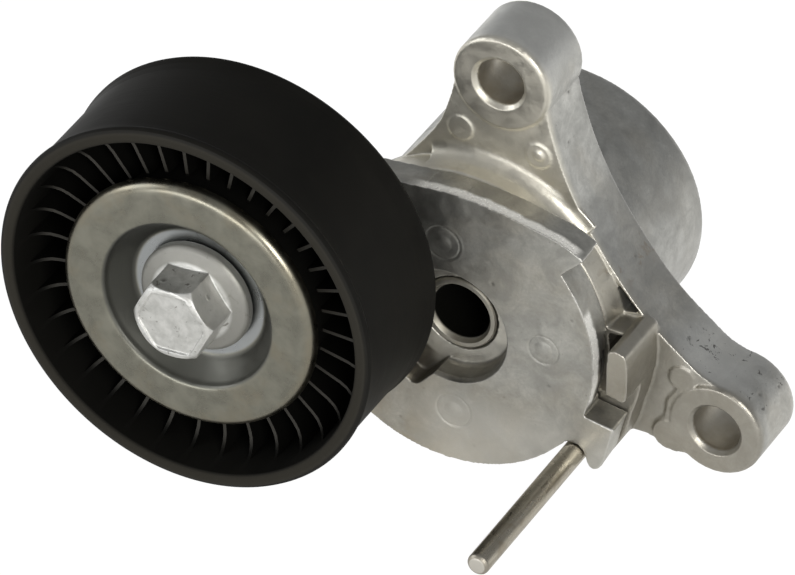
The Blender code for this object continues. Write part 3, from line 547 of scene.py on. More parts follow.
def cast_graph(name, face):
    """Die-cast aluminium: mottling, brownish stains, bright worn edges, painted shade in the
    inner corners and painted shadow in narrow gaps.
    """
    mat = MaterialGraph(name)
    cloud = mat.noise(scale=95.0, detail=6.0, rough=0.62, warp=0.4)
    mottle = mat.noise(scale=330.0, detail=5.0, rough=0.6, warp=0.3)
    mat.ground(cloud, shade(face, 0.72), shade(face, 1.19))
    mat.layer(shade(face, 0.80), mat.ramp(mottle, span=(0.30, 0.72), to=(0.0, 0.55)))
    # brown stains
    stain = mat.noise(scale=48.0, detail=4.0, rough=0.55, warp=0.8)
    brown = tuple(channel * k for channel, k in zip(face, (0.92, 0.80, 0.62)))
    mat.layer(brown, mat.ramp(stain, span=(0.46, 0.66)), 0.22)
    # patches of dark specks
    specks = mat.ramp(mat.voronoi(scale=900.0), span=(0.05, 0.16), to=FALL)
    patches = mat.ramp(mat.noise(scale=140.0, detail=2.0), span=(0.56, 0.66))
    mat.layer((0.12, 0.11, 0.10), specks, patches, 0.5)
    # dark and light blotches
    blotch = mat.noise(scale=175.0, detail=5.0, rough=0.62, warp=0.9)
    mat.layer(shade(face, 0.55), mat.ramp(blotch, span=(0.46, 0.64), to=(0.0, 0.42)))
    mat.layer(shade(face, 1.30), mat.ramp(blotch, span=(0.34, 0.48), to=(0.30, 0.0)))
    # sandy grain and small grimy flecks
    sand = mat.noise(scale=1700.0, detail=4.0, rough=0.7)
    mat.layer(shade(face, 0.62), mat.ramp(sand, span=(0.32, 0.68), to=(0.30, 0.0)))
    flecks = mat.noise(scale=900.0, detail=5.0, rough=0.7, warp=0.6)
    mat.layer((0.20, 0.185, 0.155), mat.ramp(flecks, span=(0.60, 0.74), to=(0.0, 0.30)))
    # dark pits with painted shade and shadow, bright edges and the paler sheared strips, from the
    # mesh's masks
    edge, pit, trim = mat.attribute("edge"), mat.attribute("pit"), mat.attribute("trim")
    mat.layer((0.05, 0.046, 0.04), pit, 0.85)
    mat.layer((0.76, 0.75, 0.72), edge, mat.ramp(mottle, span=(0.25, 0.6), to=(0.30, 0.80)))
    grit = mat.ramp(mat.voronoi(scale=2100.0), span=(0.10, 0.50))
    mat.layer((0.97, 0.955, 0.91), trim, mat.ramp(grit, span=(0.0, 1.0), to=(1.0, 0.72)))
    rough = mat.add(mat.ramp(mottle, to=(0.34, 0.50)), mat.mul(pit, 0.25))
    mat.rough = mat.sub(rough, mat.mul(edge, 0.10))
    fine = mat.noise(scale=2600.0, detail=3.0, rough=0.6)
    grain = mat.noise(scale=6500.0, detail=2.0, rough=0.5)
    height = mat.weighted((fine, 0.55), (grain, 0.25), (mottle, 1.1), (sand, 0.9))
    skin = mat.bump(height, strength=0.5, size=0.06)
    mat.normal = mat.bump(mat.mul(trim, grit), strength=0.8, size=0.10, under=skin)
    return mat


def steel_graph(name, axis, colour, rough=(0.28, 0.42), lines=9000.0, bump=0.25, tint=None):
    """Turned or pressed steel: fine lines round its axis and a little patchy wear.

    Returns the graph and the distance from the axis.
    """
    mat = MaterialGraph(name)
    radius, y, across = mat.polar(axis)
    angle = mat.math('ARCTAN2', *across)
    stretched = mat.vector(mat.mul(radius, lines), mat.mul(y, lines), mat.mul(angle, 1.6))
    turning = mat.noise(scale=1.0, detail=3.0, rough=0.6, vector=stretched)
    cloud = mat.noise(scale=240.0, detail=5.0, rough=0.6, warp=0.3)
    fine = mat.noise(scale=3200.0, detail=3.0, rough=0.6)
    mat.ground(cloud, shade(colour, 0.82), shade(colour, 1.10))
    if tint is not None:
        patches = mat.noise(scale=130.0, detail=4.0, rough=0.6)
        mat.layer(tint, mat.ramp(patches, span=(0.48, 0.68), to=(0.0, 0.6)))
    mat.rough = mat.add(mat.ramp(cloud, to=rough), mat.mul(mat.sub(turning, 0.5), 0.14))
    mat.normal = mat.bump(mat.weighted((turning, 0.7), (fine, 0.35)), strength=bump, size=0.02)
    return mat, radius


def plain_steel(name, axis, colour, **options):
    return steel_graph(name, axis, colour, **options)[0].done(metallic=1.0)


def moulded(name, colour, rough=(0.42, 0.6), grain=2400.0, bump=0.25):
    """Moulded polymer or rubber: fine grain and soft flow marks."""
    mat = MaterialGraph(name)
    cloud = mat.noise(scale=160.0, detail=4.0, rough=0.55, warp=0.5)
    fine = mat.noise(scale=grain, detail=3.0, rough=0.6)
    mat.ground(cloud, shade(colour, 0.8), shade(colour, 1.2))
    mat.rough = mat.ramp(cloud, to=rough)
    mat.normal = mat.bump(mat.add(fine, mat.mul(cloud, 0.8)), strength=bump, size=0.03)
    return mat.done(metallic=0.0)


# ---------------------------------------------------------------- arm casting
# axis, then (depth, radius) at the front and rear of each turned surface
ARM_ROUNDS = (
    (PIVOT_AXIS, [(-44.8, 27.39), (-39.1, 27.06)]),
    (PIVOT_AXIS, [(-44.2, 10.7), (-41.4, 10.4)]),
    (PIVOT_AXIS, [(-37.2, 11.6), (-13.6, 11.3)]),
    (PULLEY_AXIS, [(-54.0, 10.5), (-46.6, 10.9)]),
    (PULLEY_AXIS, [(-44.8, 12.99), (-39.1, 12.66)]),
)
# x, z, ring radius, dome height
EJECTOR_MARKS = ((1.1, -17.2, 3.2, 0.20), (17.9, 1.2, 2.8, 0.26), (-1.0, 16.8, 3.2, 0.20))
# x, z, radius, depth of knocks in the disc's front face
ARM_DENTS = (
    (19.0, -6.0, 0.5, 0.10), (8.2, 11.6, 0.55, 0.12), (-9.0, -22.0, 0.45, 0.08),
    (5.0, -23.3, 0.5, 0.08), (10.6, -11.2, 0.35, 0.08), (23.1, 9.0, 0.5, 0.1),
    (-4.6, -14.5, 0.4, 0.06),
)


def ragged_end(angle, mean, swing, pace, seed):
    """How far back a trim strip reaches, wavering round the pivot."""
    still = angle * 0.0
    return mean + swing * layered_noise(np.stack([angle * pace, still, still], 1), 4, seed)


def trim_strip(angle, behind, end, blur, rise, fall):
    """Strip mask; blur softens its front and rear, rise and fall are angles at its ends."""
    across = smooth(behind, -0.1, blur[0]) * (1 - smooth(behind, end - blur[1], end + 0.2))
    return across * smooth(angle, *rise) * (1 - smooth(angle, *fall))


def press_ejector_marks(skin, normals):
    """Thin rings sunk in the face, each round a low dome."""
    face = ARM_FACE + DATUM
    for x, z, ring, dome in EJECTOR_MARKS:
        dist = skin.distance((x, z))
        here = (dist < ring + 0.9) & (np.abs(skin.co[:, 1] - face) < 0.9)
        here &= normals[:, 1] < -0.2
        shape = dome * np.clip(1 - (dist / 1.7) ** 2, 0, 1) - 0.05 * (dist < ring)
        shape = (shape - 0.11 * np.exp(-((dist - ring) / 0.16) ** 2)
                 + 0.03 * np.exp(-((dist - ring - 0.4) / 0.2) ** 2))
        hold = np.where(here, 1 - smooth(dist, ring + 0.5, ring + 0.9), 0.0)
        skin.co[:, 1] = skin.co[:, 1] * (1 - hold) + (face - shape) * hold


def arm_material():
    mat = cast_graph("cast_arm_skin", (0.49, 0.482, 0.445))
    x, y, z = mat.xyz()
    # brownish stain towards the lower left
    lean = mat.ramp_mm(mat.add(x, z), span=(-45.0, 20.0), to=FALL)
    patches = mat.noise(scale=70.0, detail=4.0, rough=0.6, warp=0.6)
    mat.layer((0.385, 0.338, 0.255), lean,
              mat.ramp(patches, span=(0.38, 0.62), to=(0.25, 0.8)))
    # behind the face: painted shadow in the recess at the lower left, and painted light on the
    # hollow round the pivot
    sunk = mat.ramp_depth(y, span=(-44.4, -43.2))
    mat.layer((0.055, 0.05, 0.042), mat.spot((-9.6, -9.6), span=(3.6, 6.2)), sunk, 0.9)
    cloud = mat.noise(scale=260.0, detail=3.0)
    mat.layer((0.78, 0.75, 0.66), mat.spot(PIVOT_AXIS, span=(10.2, 11.0)), sunk,
              mat.ramp(cloud, span=(0.35, 0.65), to=(0.5, 0.2)))
    # painted light: paler towards the bottom right
    mat.layer((0.68, 0.665, 0.615), mat.ramp_mm(z, span=(-10.0, -18.0)),
              mat.ramp_mm(x, span=(-10.0, 2.0)), 0.42)
    # the sheared strips are duller
    trim = mat.attribute("trim")
    mat.rough = mat.add(mat.rough, mat.mul(trim, 0.25))
    return mat.done(metallic=mat.sub(0.92, mat.mul(trim, 0.8)))


def arm_casting():
    skin = Skin(NODES["tensioner_arm"].data, 0.23)
    skin.relax()
    skin.settle()
    for axis, profile in ARM_ROUNDS:
        skin.turn(axis, profile)
    normals = skin.normals()
    edge, cave = skin.corner_masks()
    face = ARM_FACE + DATUM
    behind = skin.co[:, 1] - face
    radius, angle = skin.distance(PIVOT_AXIS), skin.angle()

    # sheared trim strips along the front of the edge wall, on its right side and its top
    wall = (np.abs(normals[:, 1]) < 0.55) & (behind < 3.4)
    side_end = ragged_end(angle, mean=2.3, swing=0.45, pace=0.30, seed=5)
    side = trim_strip(angle, behind, side_end, blur=(0.25, 0.35),
                      rise=(-19.5, -16.0), fall=(20.5, 24.0))
    top_end = ragged_end(angle, mean=2.0, swing=0.5, pace=0.26, seed=8)
    top = trim_strip(angle, behind, top_end, blur=(0.2, 0.3),
                     rise=(41.5, 45.0), fall=(98.0, 108.0))
    trim = (np.where(wall & (radius > 26.0), side, 0.0)
            + np.where(wall & (radius > 26.2), top, 0.0))
    crumbs = layered_noise(skin.co * 2.6, 3, 21)
    lift = trim * (0.085 * crumbs - 0.07 - 0.42 * np.clip(1.0 - behind / 2.3, 0.0, 1.0))
    # broad unevenness of the cast face
    lift += (0.016 * layered_noise(skin.co * 0.16, 2, 3)
             + 0.006 * layered_noise(skin.co * 0.7, 2, 4))
    skin.co += normals * lift[:, None]

    press_ejector_marks(skin, normals)
    pit = skin.dent([(x, face, z, size, depth) for x, z, size, depth in ARM_DENTS],
                    normals) * 0.5
    edge = skin.worn(edge, seed=31)
    # painted shadow on the side wall behind the right-hand strip, and painted shade in the inner
    # corners
    gap = (radius > 26.0) & (angle < 1.5) & (angle > -17.5) & (skin.co[:, 1] < -30.0)
    pit = np.maximum(pit, np.where(gap, smooth(behind, side_end + 0.2, side_end + 0.9), 0.0))
    pit = np.maximum(pit, cave * 0.55)
    ob = skin.finish("arm_casting", arm_material(), edge=edge, pit=pit, trim=trim)
    register(ob, "tensioner_arm", "arm")


# --------------------------------------------------------------- base casting
# axis and radius of the rounded ears
BASE_EARS = (((4.0, 44.0), 9.0), ((44.8, -13.2), 8.7))
HOLE_RADIUS = 4.25
CHAFFER_RADIUS = 5.1      # outer radius of the 45 degree chamfer round each hole
# x, world y, z, radius, depth
BASE_DENTS = (
    (38.2, -29.8, 0.6, 0.55, 0.16), (40.6, -30.6, -1.6, 0.7, 0.18),
    (43.2, -27.6, -3.2, 0.5, 0.15), (47.8, -32.0, -4.6, 0.45, 0.12),
    (50.8, -31.0, -6.6, 0.7, 0.2), (45.6, -25.6, -4.2, 0.35, 0.1),
    (33.8, -31.2, 3.4, 0.45, 0.12), (26.0, -28.6, 12.0, 0.5, 0.1),
    (51.8, -26.0, -8.0, 0.45, 0.14), (14.6, -31.2, 33.0, 0.4, 0.1),
    (12.4, -27.5, 40.2, 0.5, 0.1), (7.0, -33.0, 52.0, 0.4, 0.1),
)


def cut_chamfer(skin, axis):
    """Flat seat and crisp 45 degree chamfer round a hole."""
    dist = skin.distance(axis)
    seat = EAR_FACE + DATUM
    cone = seat + np.clip(CHAFFER_RADIUS - dist, 0.0, None)
    near = (dist > 4.3) & (dist < 7.0) & (skin.co[:, 1] < seat + 0.95)
    near &= np.abs(skin.co[:, 1] - cone) < 0.45
    hold = np.where(near, 1 - smooth(dist, 6.3, 7.0), 0.0)
    skin.co[:, 1] += hold * (cone - skin.co[:, 1])


def base_material():
    mat = cast_graph("cast_base_skin", (0.56, 0.558, 0.53))
    x, y, z = mat.xyz()
    # front faces are brown low down and beige higher up
    beige = mat.mix(mat.ramp_mm(z, span=(-4.0, 26.0)), (0.355, 0.32, 0.255),
                    (0.94, 0.89, 0.755))
    mat.layer(beige, mat.ramp_depth(y, span=(EAR_FACE, -32.0), to=(0.6, 0.0)))
    # front of the upper ear, then painted shade low on the front
    mat.layer((0.50, 0.475, 0.41), mat.spot(BASE_HOLES[0], span=(8.9, 9.5)),
              mat.ramp_depth(y, span=(-34.2, -33.6), to=FALL), 0.55)
    mat.layer((0.10, 0.096, 0.084), mat.ramp_depth(y, span=(-33.0, -31.0), to=FALL),
              mat.ramp_mm(z, span=(-6.0, 30.0), to=(0.20, 0.0)))
    # painted light below and painted shade above on the drum at the rear
    drum = mat.ramp_depth(y, span=(-23.6, -21.6))
    mat.layer((0.80, 0.79, 0.75), drum, mat.ramp_mm(z, span=(4.0, -2.0)), 0.35)
    mat.layer((0.25, 0.25, 0.235), drum, mat.ramp_mm(z, span=(2.0, 14.0)), 0.32)
    # flanks behind the front faces: painted highlight at the right and top, painted shade between
    flank = mat.ramp_depth(y, span=(-34.0, -32.8))
    ends = mat.mul(mat.ramp_mm(x, span=(33.0, 41.0)),
                   mat.ramp_mm(x, span=(45.0, 51.0), to=(1.0, 0.15)))
    ends = mat.math('MAXIMUM', ends, mat.ramp_mm(z, span=(44.0, 50.0)))
    mat.layer((0.80, 0.80, 0.77), flank, ends, 0.60)
    middle = mat.mul(mat.ramp_mm(x, span=(16.0, 22.0)),
                     mat.ramp_mm(x, span=(28.0, 34.0), to=FALL))
    mat.layer((0.28, 0.28, 0.27), flank, middle, 0.36)
    # dark scuffs above the right ear and a brown smear further left
    scuffs = mat.noise(scale=540.0, detail=4.0, rough=0.70, warp=1.0)
    mat.layer((0.09, 0.085, 0.08), mat.spot((45.0, -4.0), span=(7.0, 11.5)),
              mat.ramp_depth(y, span=(-32.6, -32.0)), mat.ramp(scuffs, span=(0.615, 0.66)), 0.8)
    smears = mat.noise(scale=500.0, detail=3.0, warp=0.8)
    mat.layer((0.25, 0.18, 0.11), mat.spot((26.0, 12.0), span=(1.0, 4.5)),
              mat.ramp(smears, span=(0.55, 0.68)), 0.3)
    # brownish bores
    for axis in BASE_HOLES:
        patches = mat.ramp(mat.noise(scale=200.0, detail=3.0), to=(0.55, 0.9))
        mat.layer((0.40, 0.355, 0.275), mat.spot(axis, span=(4.3, 4.45)), patches)
    return mat.done(metallic=0.92)


def base_casting():
    skin = Skin(NODES["base_housing"].data, 0.25)
    skin.relax()
    skin.settle()
    skin.turn(PIVOT_AXIS, [(-31.4, 25.0), (0.5, 24.8)])
    skin.turn(PIVOT_AXIS, [(-38.0, 27.0), (-32.8, 27.0)], tolerance=0.05)
    for axis, radius in BASE_EARS:
        skin.turn(axis, [(-33.7, radius), (-22.1, radius)])
    for axis in BASE_HOLES:
        skin.turn(axis, [(-33.0, HOLE_RADIUS), (-22.4, HOLE_RADIUS)])
        cut_chamfer(skin, axis)
    normals = skin.normals()
    edge, cave = skin.corner_masks()
    # broad unevenness, then small sunken patches
    lift = (0.020 * layered_noise(skin.co * 0.13, 2, 11)
            + 0.008 * layered_noise(skin.co * 0.6, 2, 12))
    lift -= 0.02 * smooth(layered_noise(skin.co * 0.9, 2, 14), 0.45, 0.8)
    skin.co += normals * lift[:, None]
    pit = skin.dent(BASE_DENTS, normals)
    edge = skin.worn(edge, seed=41)
    # dents, and painted shade in the inner corners
    pit = np.maximum(pit * 0.8, cave * 0.55)
    # painted shadow on the wall at the right, in the gap just outside the arm's disc
    y, angle, radius = skin.co[:, 1], skin.angle(), skin.distance(PIVOT_AXIS)
    gap = (angle < 2.5) & (angle > -18.0) & (radius > 26.6) & (radius < 28.9)
    gap &= (y < -29.5) & (y > -42.3)
    pit = np.maximum(pit, np.where(gap, 1.0, 0.0))
    # the chamfers round the holes have no worn halo
    for axis in BASE_HOLES:
        edge = edge * (1.0 - 0.9 * (1 - smooth(skin.distance(axis), 5.9, 6.9)))
    ob = skin.finish("base_casting", base_material(), edge=edge, pit=pit,
                     trim=np.zeros(len(skin.co)))
    register(ob, "base_housing", "base")


# --------------------------------------------------------------------- pulley
WEB_FRONT, WEB_REAR = -61.0, -58.6      # depths of the web between hub and rim
RIB_COUNT = 36
RIB_START = -2.6                        # degrees from +X to the first rib


def pulley_material():
    mat = MaterialGraph("pulley_moulded")
    radius, y, across = mat.polar(PULLEY_AXIS)
    angle = mat.math('ARCTAN2', *across)
    cloud = mat.noise(scale=60.0, detail=4.0, rough=0.55, warp=0.6)
    fine = mat.noise(scale=2600.0, detail=3.0, rough=0.6)
    around = mat.vector(mat.mul(y, 2600.0), mat.mul(angle, 2.2), mat.mul(radius, 900.0))
    scuff = mat.noise(scale=1.0, detail=4.0, rough=0.65, vector=around)
    mat.ground(cloud, (0.0065, 0.0062, 0.0052), (0.0100, 0.0094, 0.0078))
    # paler front lip of the rim
    band = mat.mul(mat.ramp_mm(radius, span=(32.1, 32.6)),
                   mat.ramp_mm(radius, span=(34.1, 34.5), to=FALL))
    mat.layer((0.0215, 0.0195, 0.015),
              mat.ramp_depth(y, span=(PULLEY_FRONT + 0.05, PULLEY_FRONT + 0.5), to=FALL), band)
    # painted shade inside the rim
    mat.layer((0.002, 0.002, 0.0016), mat.ramp_mm(radius, span=(31.6, 33.2), to=(0.75, 0.0)))
    # painted highlight on the forward-facing front edges of the ribs, which are also glossier
    band = mat.mul(mat.ramp_mm(radius, span=(22.35, 22.6)),
                   mat.ramp_mm(radius, span=(28.6, 31.6), to=(1.0, 0.1)))
    forward = mat.ramp(mat.xyz("Normal")[1], span=(-0.55, -0.85))
    ridge = mat.mul(mat.ramp_depth(y, span=(-67.7, -67.9)), band)
    ridge = mat.mul(ridge, forward)
    mat.layer((0.027, 0.0245, 0.019), ridge)
    rough = mat.add(mat.ramp(cloud, to=(0.50, 0.58)), mat.mul(mat.sub(scuff, 0.5), 0.12))
    mat.rough = mat.add(rough, mat.ramp_mm(radius, span=(33.6, 34.2), to=(0.18, 0.0)))
    mat.normal = mat.bump(mat.weighted((scuff, 0.5), (fine, 0.6)), strength=0.22, size=0.03)
    gloss = mat.add(mat.ramp_mm(radius, span=(33.4, 34.0), to=(0.07, 0.09)),
                    mat.mul(ridge, 0.4))
    return mat.done(metallic=0.0, Specular_IOR_Level=gloss)


def pulley_profile():
    """(radius, depth) section: belt face, rear rim, hub round the bearing, front rim."""
    front, rear, rim = PULLEY_FRONT, PULLEY_REAR, PULLEY_RADIUS
    belt = rim - 0.5
    hub = 22.2
    bore = BEARING_RADIUS + 0.3
    mouth = 19.4              # radius of the openings before and behind the bearing
    return [
        (34.2, front), (34.75, front + 0.22), (rim, front + 0.75), (rim, front + 1.15),
        (belt + 0.06, front + 1.9), (belt, front + 3.4),
        (belt, rear - 4.0), (belt + 0.2, rear - 2.2), (rim, rear - 1.1), (rim, rear - 0.75),
        (34.75, rear - 0.22), (34.2, rear), (32.6, rear), (32.25, rear - 0.35),
        (31.7, WEB_REAR + 1.2), (30.8, WEB_REAR), (hub + 0.8, WEB_REAR), (hub, WEB_REAR + 0.8),
        (hub - 0.2, BEARING_REAR + 2.7), (mouth, BEARING_REAR + 2.7),
        (mouth, BEARING_REAR + 0.3), (bore, BEARING_REAR + 0.3),
        (bore, BEARING_FRONT - 0.3), (mouth, BEARING_FRONT - 0.3),
        (mouth, BEARING_FRONT - 2.7), (hub - 0.2, BEARING_FRONT - 2.7),
        (hub, WEB_FRONT - 0.8), (hub + 0.8, WEB_FRONT), (30.8, WEB_FRONT),
        (31.7, WEB_FRONT - 1.2), (32.25, front + 0.35), (32.6, front),
    ]


def draw_ribs(bm):
    """Radial ribs before and behind the web; the draft thins each at its free edge."""
    rise = oval_arc((27.8, -72.3), 4.6, 4.3, step=18.0, count=6)
    front = ([(21.6, -68.0)] + rise
             + [(33.1, rise[-1][1]), (33.1, WEB_FRONT + 0.6), (21.6, WEB_FRONT + 0.6)])
    rise = oval_arc((29.2, -52.4), 3.2, -2.6, step=22.5, count=5)
    rear = ([(21.6, WEB_REAR - 0.6), (33.0, WEB_REAR - 0.6), (33.0, rise[-1][1])]
            + rise[::-1] + [(21.6, -55.0)])
    for outline, web in ((front, WEB_FRONT), (rear, WEB_REAR)):
        for i in range(RIB_COUNT):
            angle = math.radians(RIB_START + 360.0 / RIB_COUNT * i)
            cos, sin = math.cos(angle), math.sin(angle)
            sides = []
            for sign in (-1, 1):
                ring = []
                for radius, depth in outline:
                    half = sign * (0.50 - 0.20 * min(1.0, abs(depth - web) / 7.0))
                    ring.append(bm.verts.new((PULLEY_AXIS[0] + radius * cos - half * sin, depth,
                                              PULLEY_AXIS[1] + radius * sin + half * cos)))
                sides.append(ring)
            bridge(bm, *sides)


def pulley_piece():
    material = pulley_material()
    bm = bmesh.new()
    lathe(bm, soft(pulley_profile(), 0.22, 2), 216, PULLEY_AXIS)
    ob = make_object("pulley_moulding", bm, material)
    boolean(ob, draw_ribs, 'UNION')
    bm = bmesh.new()
    bm.from_mesh(ob.data)
    bmesh.ops.remove_doubles(bm, verts=bm.verts, dist=1e-8)
    shade_smooth(bm, 38.0)
    bm.to_mesh(ob.data)
    bm.free()
    register(ob, "pulley", "pulley_body")


# ----------------------------------------------------------------- dust cover
def cover_material():
    mat, radius = steel_graph("cover_plated", PULLEY_AXIS, (0.238, 0.232, 0.192),
                              rough=(0.26, 0.36), lines=5200.0, bump=0.22,
                              tint=(0.245, 0.222, 0.168))
    # painted highlight on the rolled rim, broken into patches
    patches = mat.ramp(mat.noise(scale=160.0, detail=4.0), span=(0.36, 0.6), to=(0.25, 0.8))
    mat.layer((0.27, 0.245, 0.185), mat.ramp_mm(radius, span=(21.6, 23.2)), patches)
    # painted shade on the sloping wall of the bowl, deepest at the left
    bowl = mat.mul(mat.ramp_mm(radius, span=(12.0, 12.6)),
                   mat.ramp_mm(radius, span=(15.8, 16.4), to=FALL))
    mat.layer((0.137, 0.138, 0.126), bowl, 0.85)
    offset = mat.sub(mat.xyz()[0], PULLEY_AXIS[0] * MM)
    mat.layer((0.05, 0.05, 0.045), bowl, mat.ramp_mm(offset, span=(-7.0, 3.0), to=(0.5, 0.0)))
    # pale floor round the bolt
    mat.layer((0.42, 0.44, 0.455), mat.ramp_mm(radius, span=(11.8, 12.4), to=FALL), 0.8)
    mat.rough = mat.add(mat.rough, mat.mul(bowl, 0.16))
    return mat.done(metallic=1.0)


def cover_piece():
    """Pressed cover: flat floor, sloping wall, rounded ridge and a rim curling back."""
    front_side = (
        [(4.4, -69.2)] + oval_arc((11.6, -70.2), 1.5, 1.0, step=15.0, count=5)
        + [(15.3, -72.75)]
        + oval_arc((16.9, -73.35), 1.25, -0.85, step=18.0, count=6, start=-90.0)
        + [(19.5, -74.27), (21.0, -74.25)]
        + oval_arc((21.6, -72.35), 2.15, -1.88, step=10.0, count=10) + [(23.75, -72.0)])
    rear_side = [(23.05, -72.0), (22.95, -72.5), (22.4, -73.05), (21.4, -73.4), (17.0, -73.35),
                 (16.2, -72.9), (13.2, -68.95), (12.3, -68.45), (4.4, -68.4)]
    turned_piece("dust_cover_pressing", "front_dust_cover", "cover_zinc_steel", "arm",
                 front_side + rear_side, cover_material(), segments=200, angle=45.0)


# ----------------------------------------------------------------------- bolt
BOLT_REAR = -69.5          # depth of the flange's rear
BOLT_FLANGE = -71.5        # depth of the flange's front
BOLT_TOP = -79.8           # depth of the front of the head
BOLT_FLANGE_RADIUS = 10.25
HEAD_FLATS = 13.2          # across the flats
DISH_FLATS = 11.1
HEAD_TURN = 3.4            # degrees from +X to the first corner
# x, depth, z from the middle of the flange's front, then radius and depth
BOLT_DENTS = ((4.9, -4.0, 4.5, 0.7, 0.16), (-2.6, -5.6, 6.4, 0.8, 0.10),
              (6.0, -6.4, 1.8, 0.5, 0.12))


def bolt_material():
    mat = MaterialGraph("bolt_zinc_flake")
    cloud = mat.noise(scale=420.0, detail=5.0, rough=0.65, warp=0.4)
    fine = mat.noise(scale=5200.0, detail=3.0, rough=0.65)
    flake = mat.voronoi(scale=5200.0)
    mat.ground(cloud, (0.50, 0.50, 0.475), (0.66, 0.655, 0.63))
    smudge = mat.noise(scale=520.0, detail=3.0, rough=0.6, warp=1.0)
    mat.layer((0.14, 0.125, 0.11), mat.ramp(smudge, span=(0.62, 0.70)), 0.75)
    # dark pits with painted shade in the inner corners, and bright edges, from the mesh's masks
    mat.layer((0.10, 0.09, 0.08), mat.attribute("pit"), 0.7)
    mat.layer((0.90, 0.90, 0.89), mat.attribute("edge"), 0.6)
    # the flange darker and rougher, its darkness painted shade, then painted highlight on the
    # right-hand sides of the head
    radius, y, _ = mat.polar(PULLEY_AXIS)
    flange = mat.mul(mat.ramp_mm(radius, span=(7.2, 7.9)),
                     mat.ramp_depth(y, span=(-75.4, -74.6)))
    mat.layer((0.275, 0.27, 0.245), flange, 0.85)
    mat.layer((0.86, 0.85, 0.82), mat.ramp(mat.xyz("Normal")[0], span=(0.45, 0.8)),
              mat.ramp_mm(radius, span=(7.7, 7.9), to=FALL),
              mat.ramp_depth(y, span=(-71.7, -72.3)), 0.5)
    mat.rough = mat.add(mat.ramp(cloud, to=(0.36, 0.50)), mat.mul(flange, 0.12))
    mat.normal = mat.bump(mat.weighted((fine, 0.8), (flake, 0.5)), strength=0.35, size=0.03)
    return mat.done(metallic=0.85)


def hexagon(flats):
    """Hexagon's (x, z) corners from its width across the flats."""
    reach = flats / math.sqrt(3.0)
    angles = [math.radians(HEAD_TURN + 60 * i) for i in range(6)]
    return [(PULLEY_AXIS[0] + reach * math.cos(a), PULLEY_AXIS[1] + reach * math.sin(a))
            for a in angles]


def bolt_solid(material):
    """Shank, flange and hexagon head with a shallow dish in its front."""
    front, rear, top, radius = BOLT_FLANGE, BOLT_REAR, BOLT_TOP, BOLT_FLANGE_RADIUS
    shank = [(0.0, front - 1.1), (7.0, front - 1.1), (9.6, front - 0.2),
             (radius - 0.25, front + 0.12), (radius, front + 0.5), (radius, rear - 0.3),
             (radius - 0.3, rear), (4.35, rear), (4.0, rear + 0.4), (4.0, -43.8),
             (3.3, -43.0), (0.0, -43.0)]
    bm = bmesh.new()
    lathe(bm, soft(shank, 0.15, 2), 128, PULLEY_AXIS)
    ob = make_object("flange_bolt", bm, material)
    bm = bmesh.new()
    prism(bm, hexagon(HEAD_FLATS), top, front + 0.6)
    head = make_object("head", bm, material)
    # trims the head's front corners
    chamfer = [(0.0, top), (6.15, top), (6.6, top + 0.15), (7.0, top + 0.5), (7.75, top + 1.6),
               (7.75, front + 2.0), (0.0, front + 2.0)]
    boolean(head, lambda bm: lathe(bm, chamfer, 96, PULLEY_AXIS), 'INTERSECT')
    combine_with(ob, head, 'UNION')
    dish = rounded(hexagon(DISH_FLATS), [1.7] * 6, 6)
    boolean(ob, lambda bm: prism(bm, dish, top - 1.0, top + 0.4), 'DIFFERENCE')
    return ob


def bolt_piece():
    material = bolt_material()
    solid = bolt_solid(material)
    skin = Skin(solid.data, 0.16)
    bpy.data.objects.remove(solid, do_unlink=True)
    skin.relax()
    normals = skin.normals()
    # the whole surface is a little uneven
    lift = (0.014 * layered_noise(skin.co * 1.1, 3, 61)
            + 0.008 * layered_noise(skin.co * 3.3, 2, 62))
    skin.co += normals * lift[:, None]
    bend = skin.curvature()
    patches = 0.5 + 0.5 * layered_noise(skin.co * 1.2, 2, 63)
    edge = np.clip(np.clip((bend - 0.01) / 0.05, 0, 1) * patches, 0, 1)
    dents = [(PULLEY_AXIS[0] + x, BOLT_FLANGE + DATUM + y, PULLEY_AXIS[1] + z, size, depth)
             for x, y, z, size, depth in BOLT_DENTS]
    pit = skin.dent(dents, normals)
    # painted shade in the inner corners joins the dents
    pit = np.maximum(pit, np.clip((-bend - 0.015) / 0.08, 0, 1) * 0.5)
    ob = skin.finish("flange_bolt", material, edge=edge, pit=pit)
    register(ob, "pulley_bolt", "arm")


# ------------------------------------------------------------------- lock pin
def pin_material():
    mat = MaterialGraph("pin_drawn_steel")
    radius, y, across = mat.polar(PIN_AXIS)
    angle = mat.math('ARCTAN2', *across)
    along = mat.vector(mat.mul(angle, 3.0), mat.mul(y, 60.0), 0.3)
    draw = mat.noise(scale=1.0, detail=4.0, rough=0.65, vector=along)
    cloud = mat.noise(scale=300.0, detail=4.0, rough=0.6)
    mat.ground(draw, (0.36, 0.33, 0.27), (0.56, 0.52, 0.44))
    mat.layer((0.30, 0.25, 0.18), mat.ramp(cloud, span=(0.5, 0.7), to=(0.0, 0.5)))
    # pale front end with a darker rim
    end = mat.ramp_depth(y, span=(PIN_FRONT + 0.5, PIN_FRONT + 1.1), to=FALL)
    mat.layer((0.60, 0.575, 0.52), end)
    mat.layer((0.22, 0.19, 0.14), mat.ramp_mm(radius, span=(1.35, 1.55)), end, 0.6)
    mat.rough = mat.add(mat.ramp(cloud, to=(0.22, 0.36)), mat.mul(end, 0.15))
    grain = mat.noise(scale=4000.0, detail=2.0)
    mat.normal = mat.bump(mat.weighted((draw, 0.8), (grain, 0.2)), strength=0.25, size=0.03)
    return mat.done(metallic=1.0)


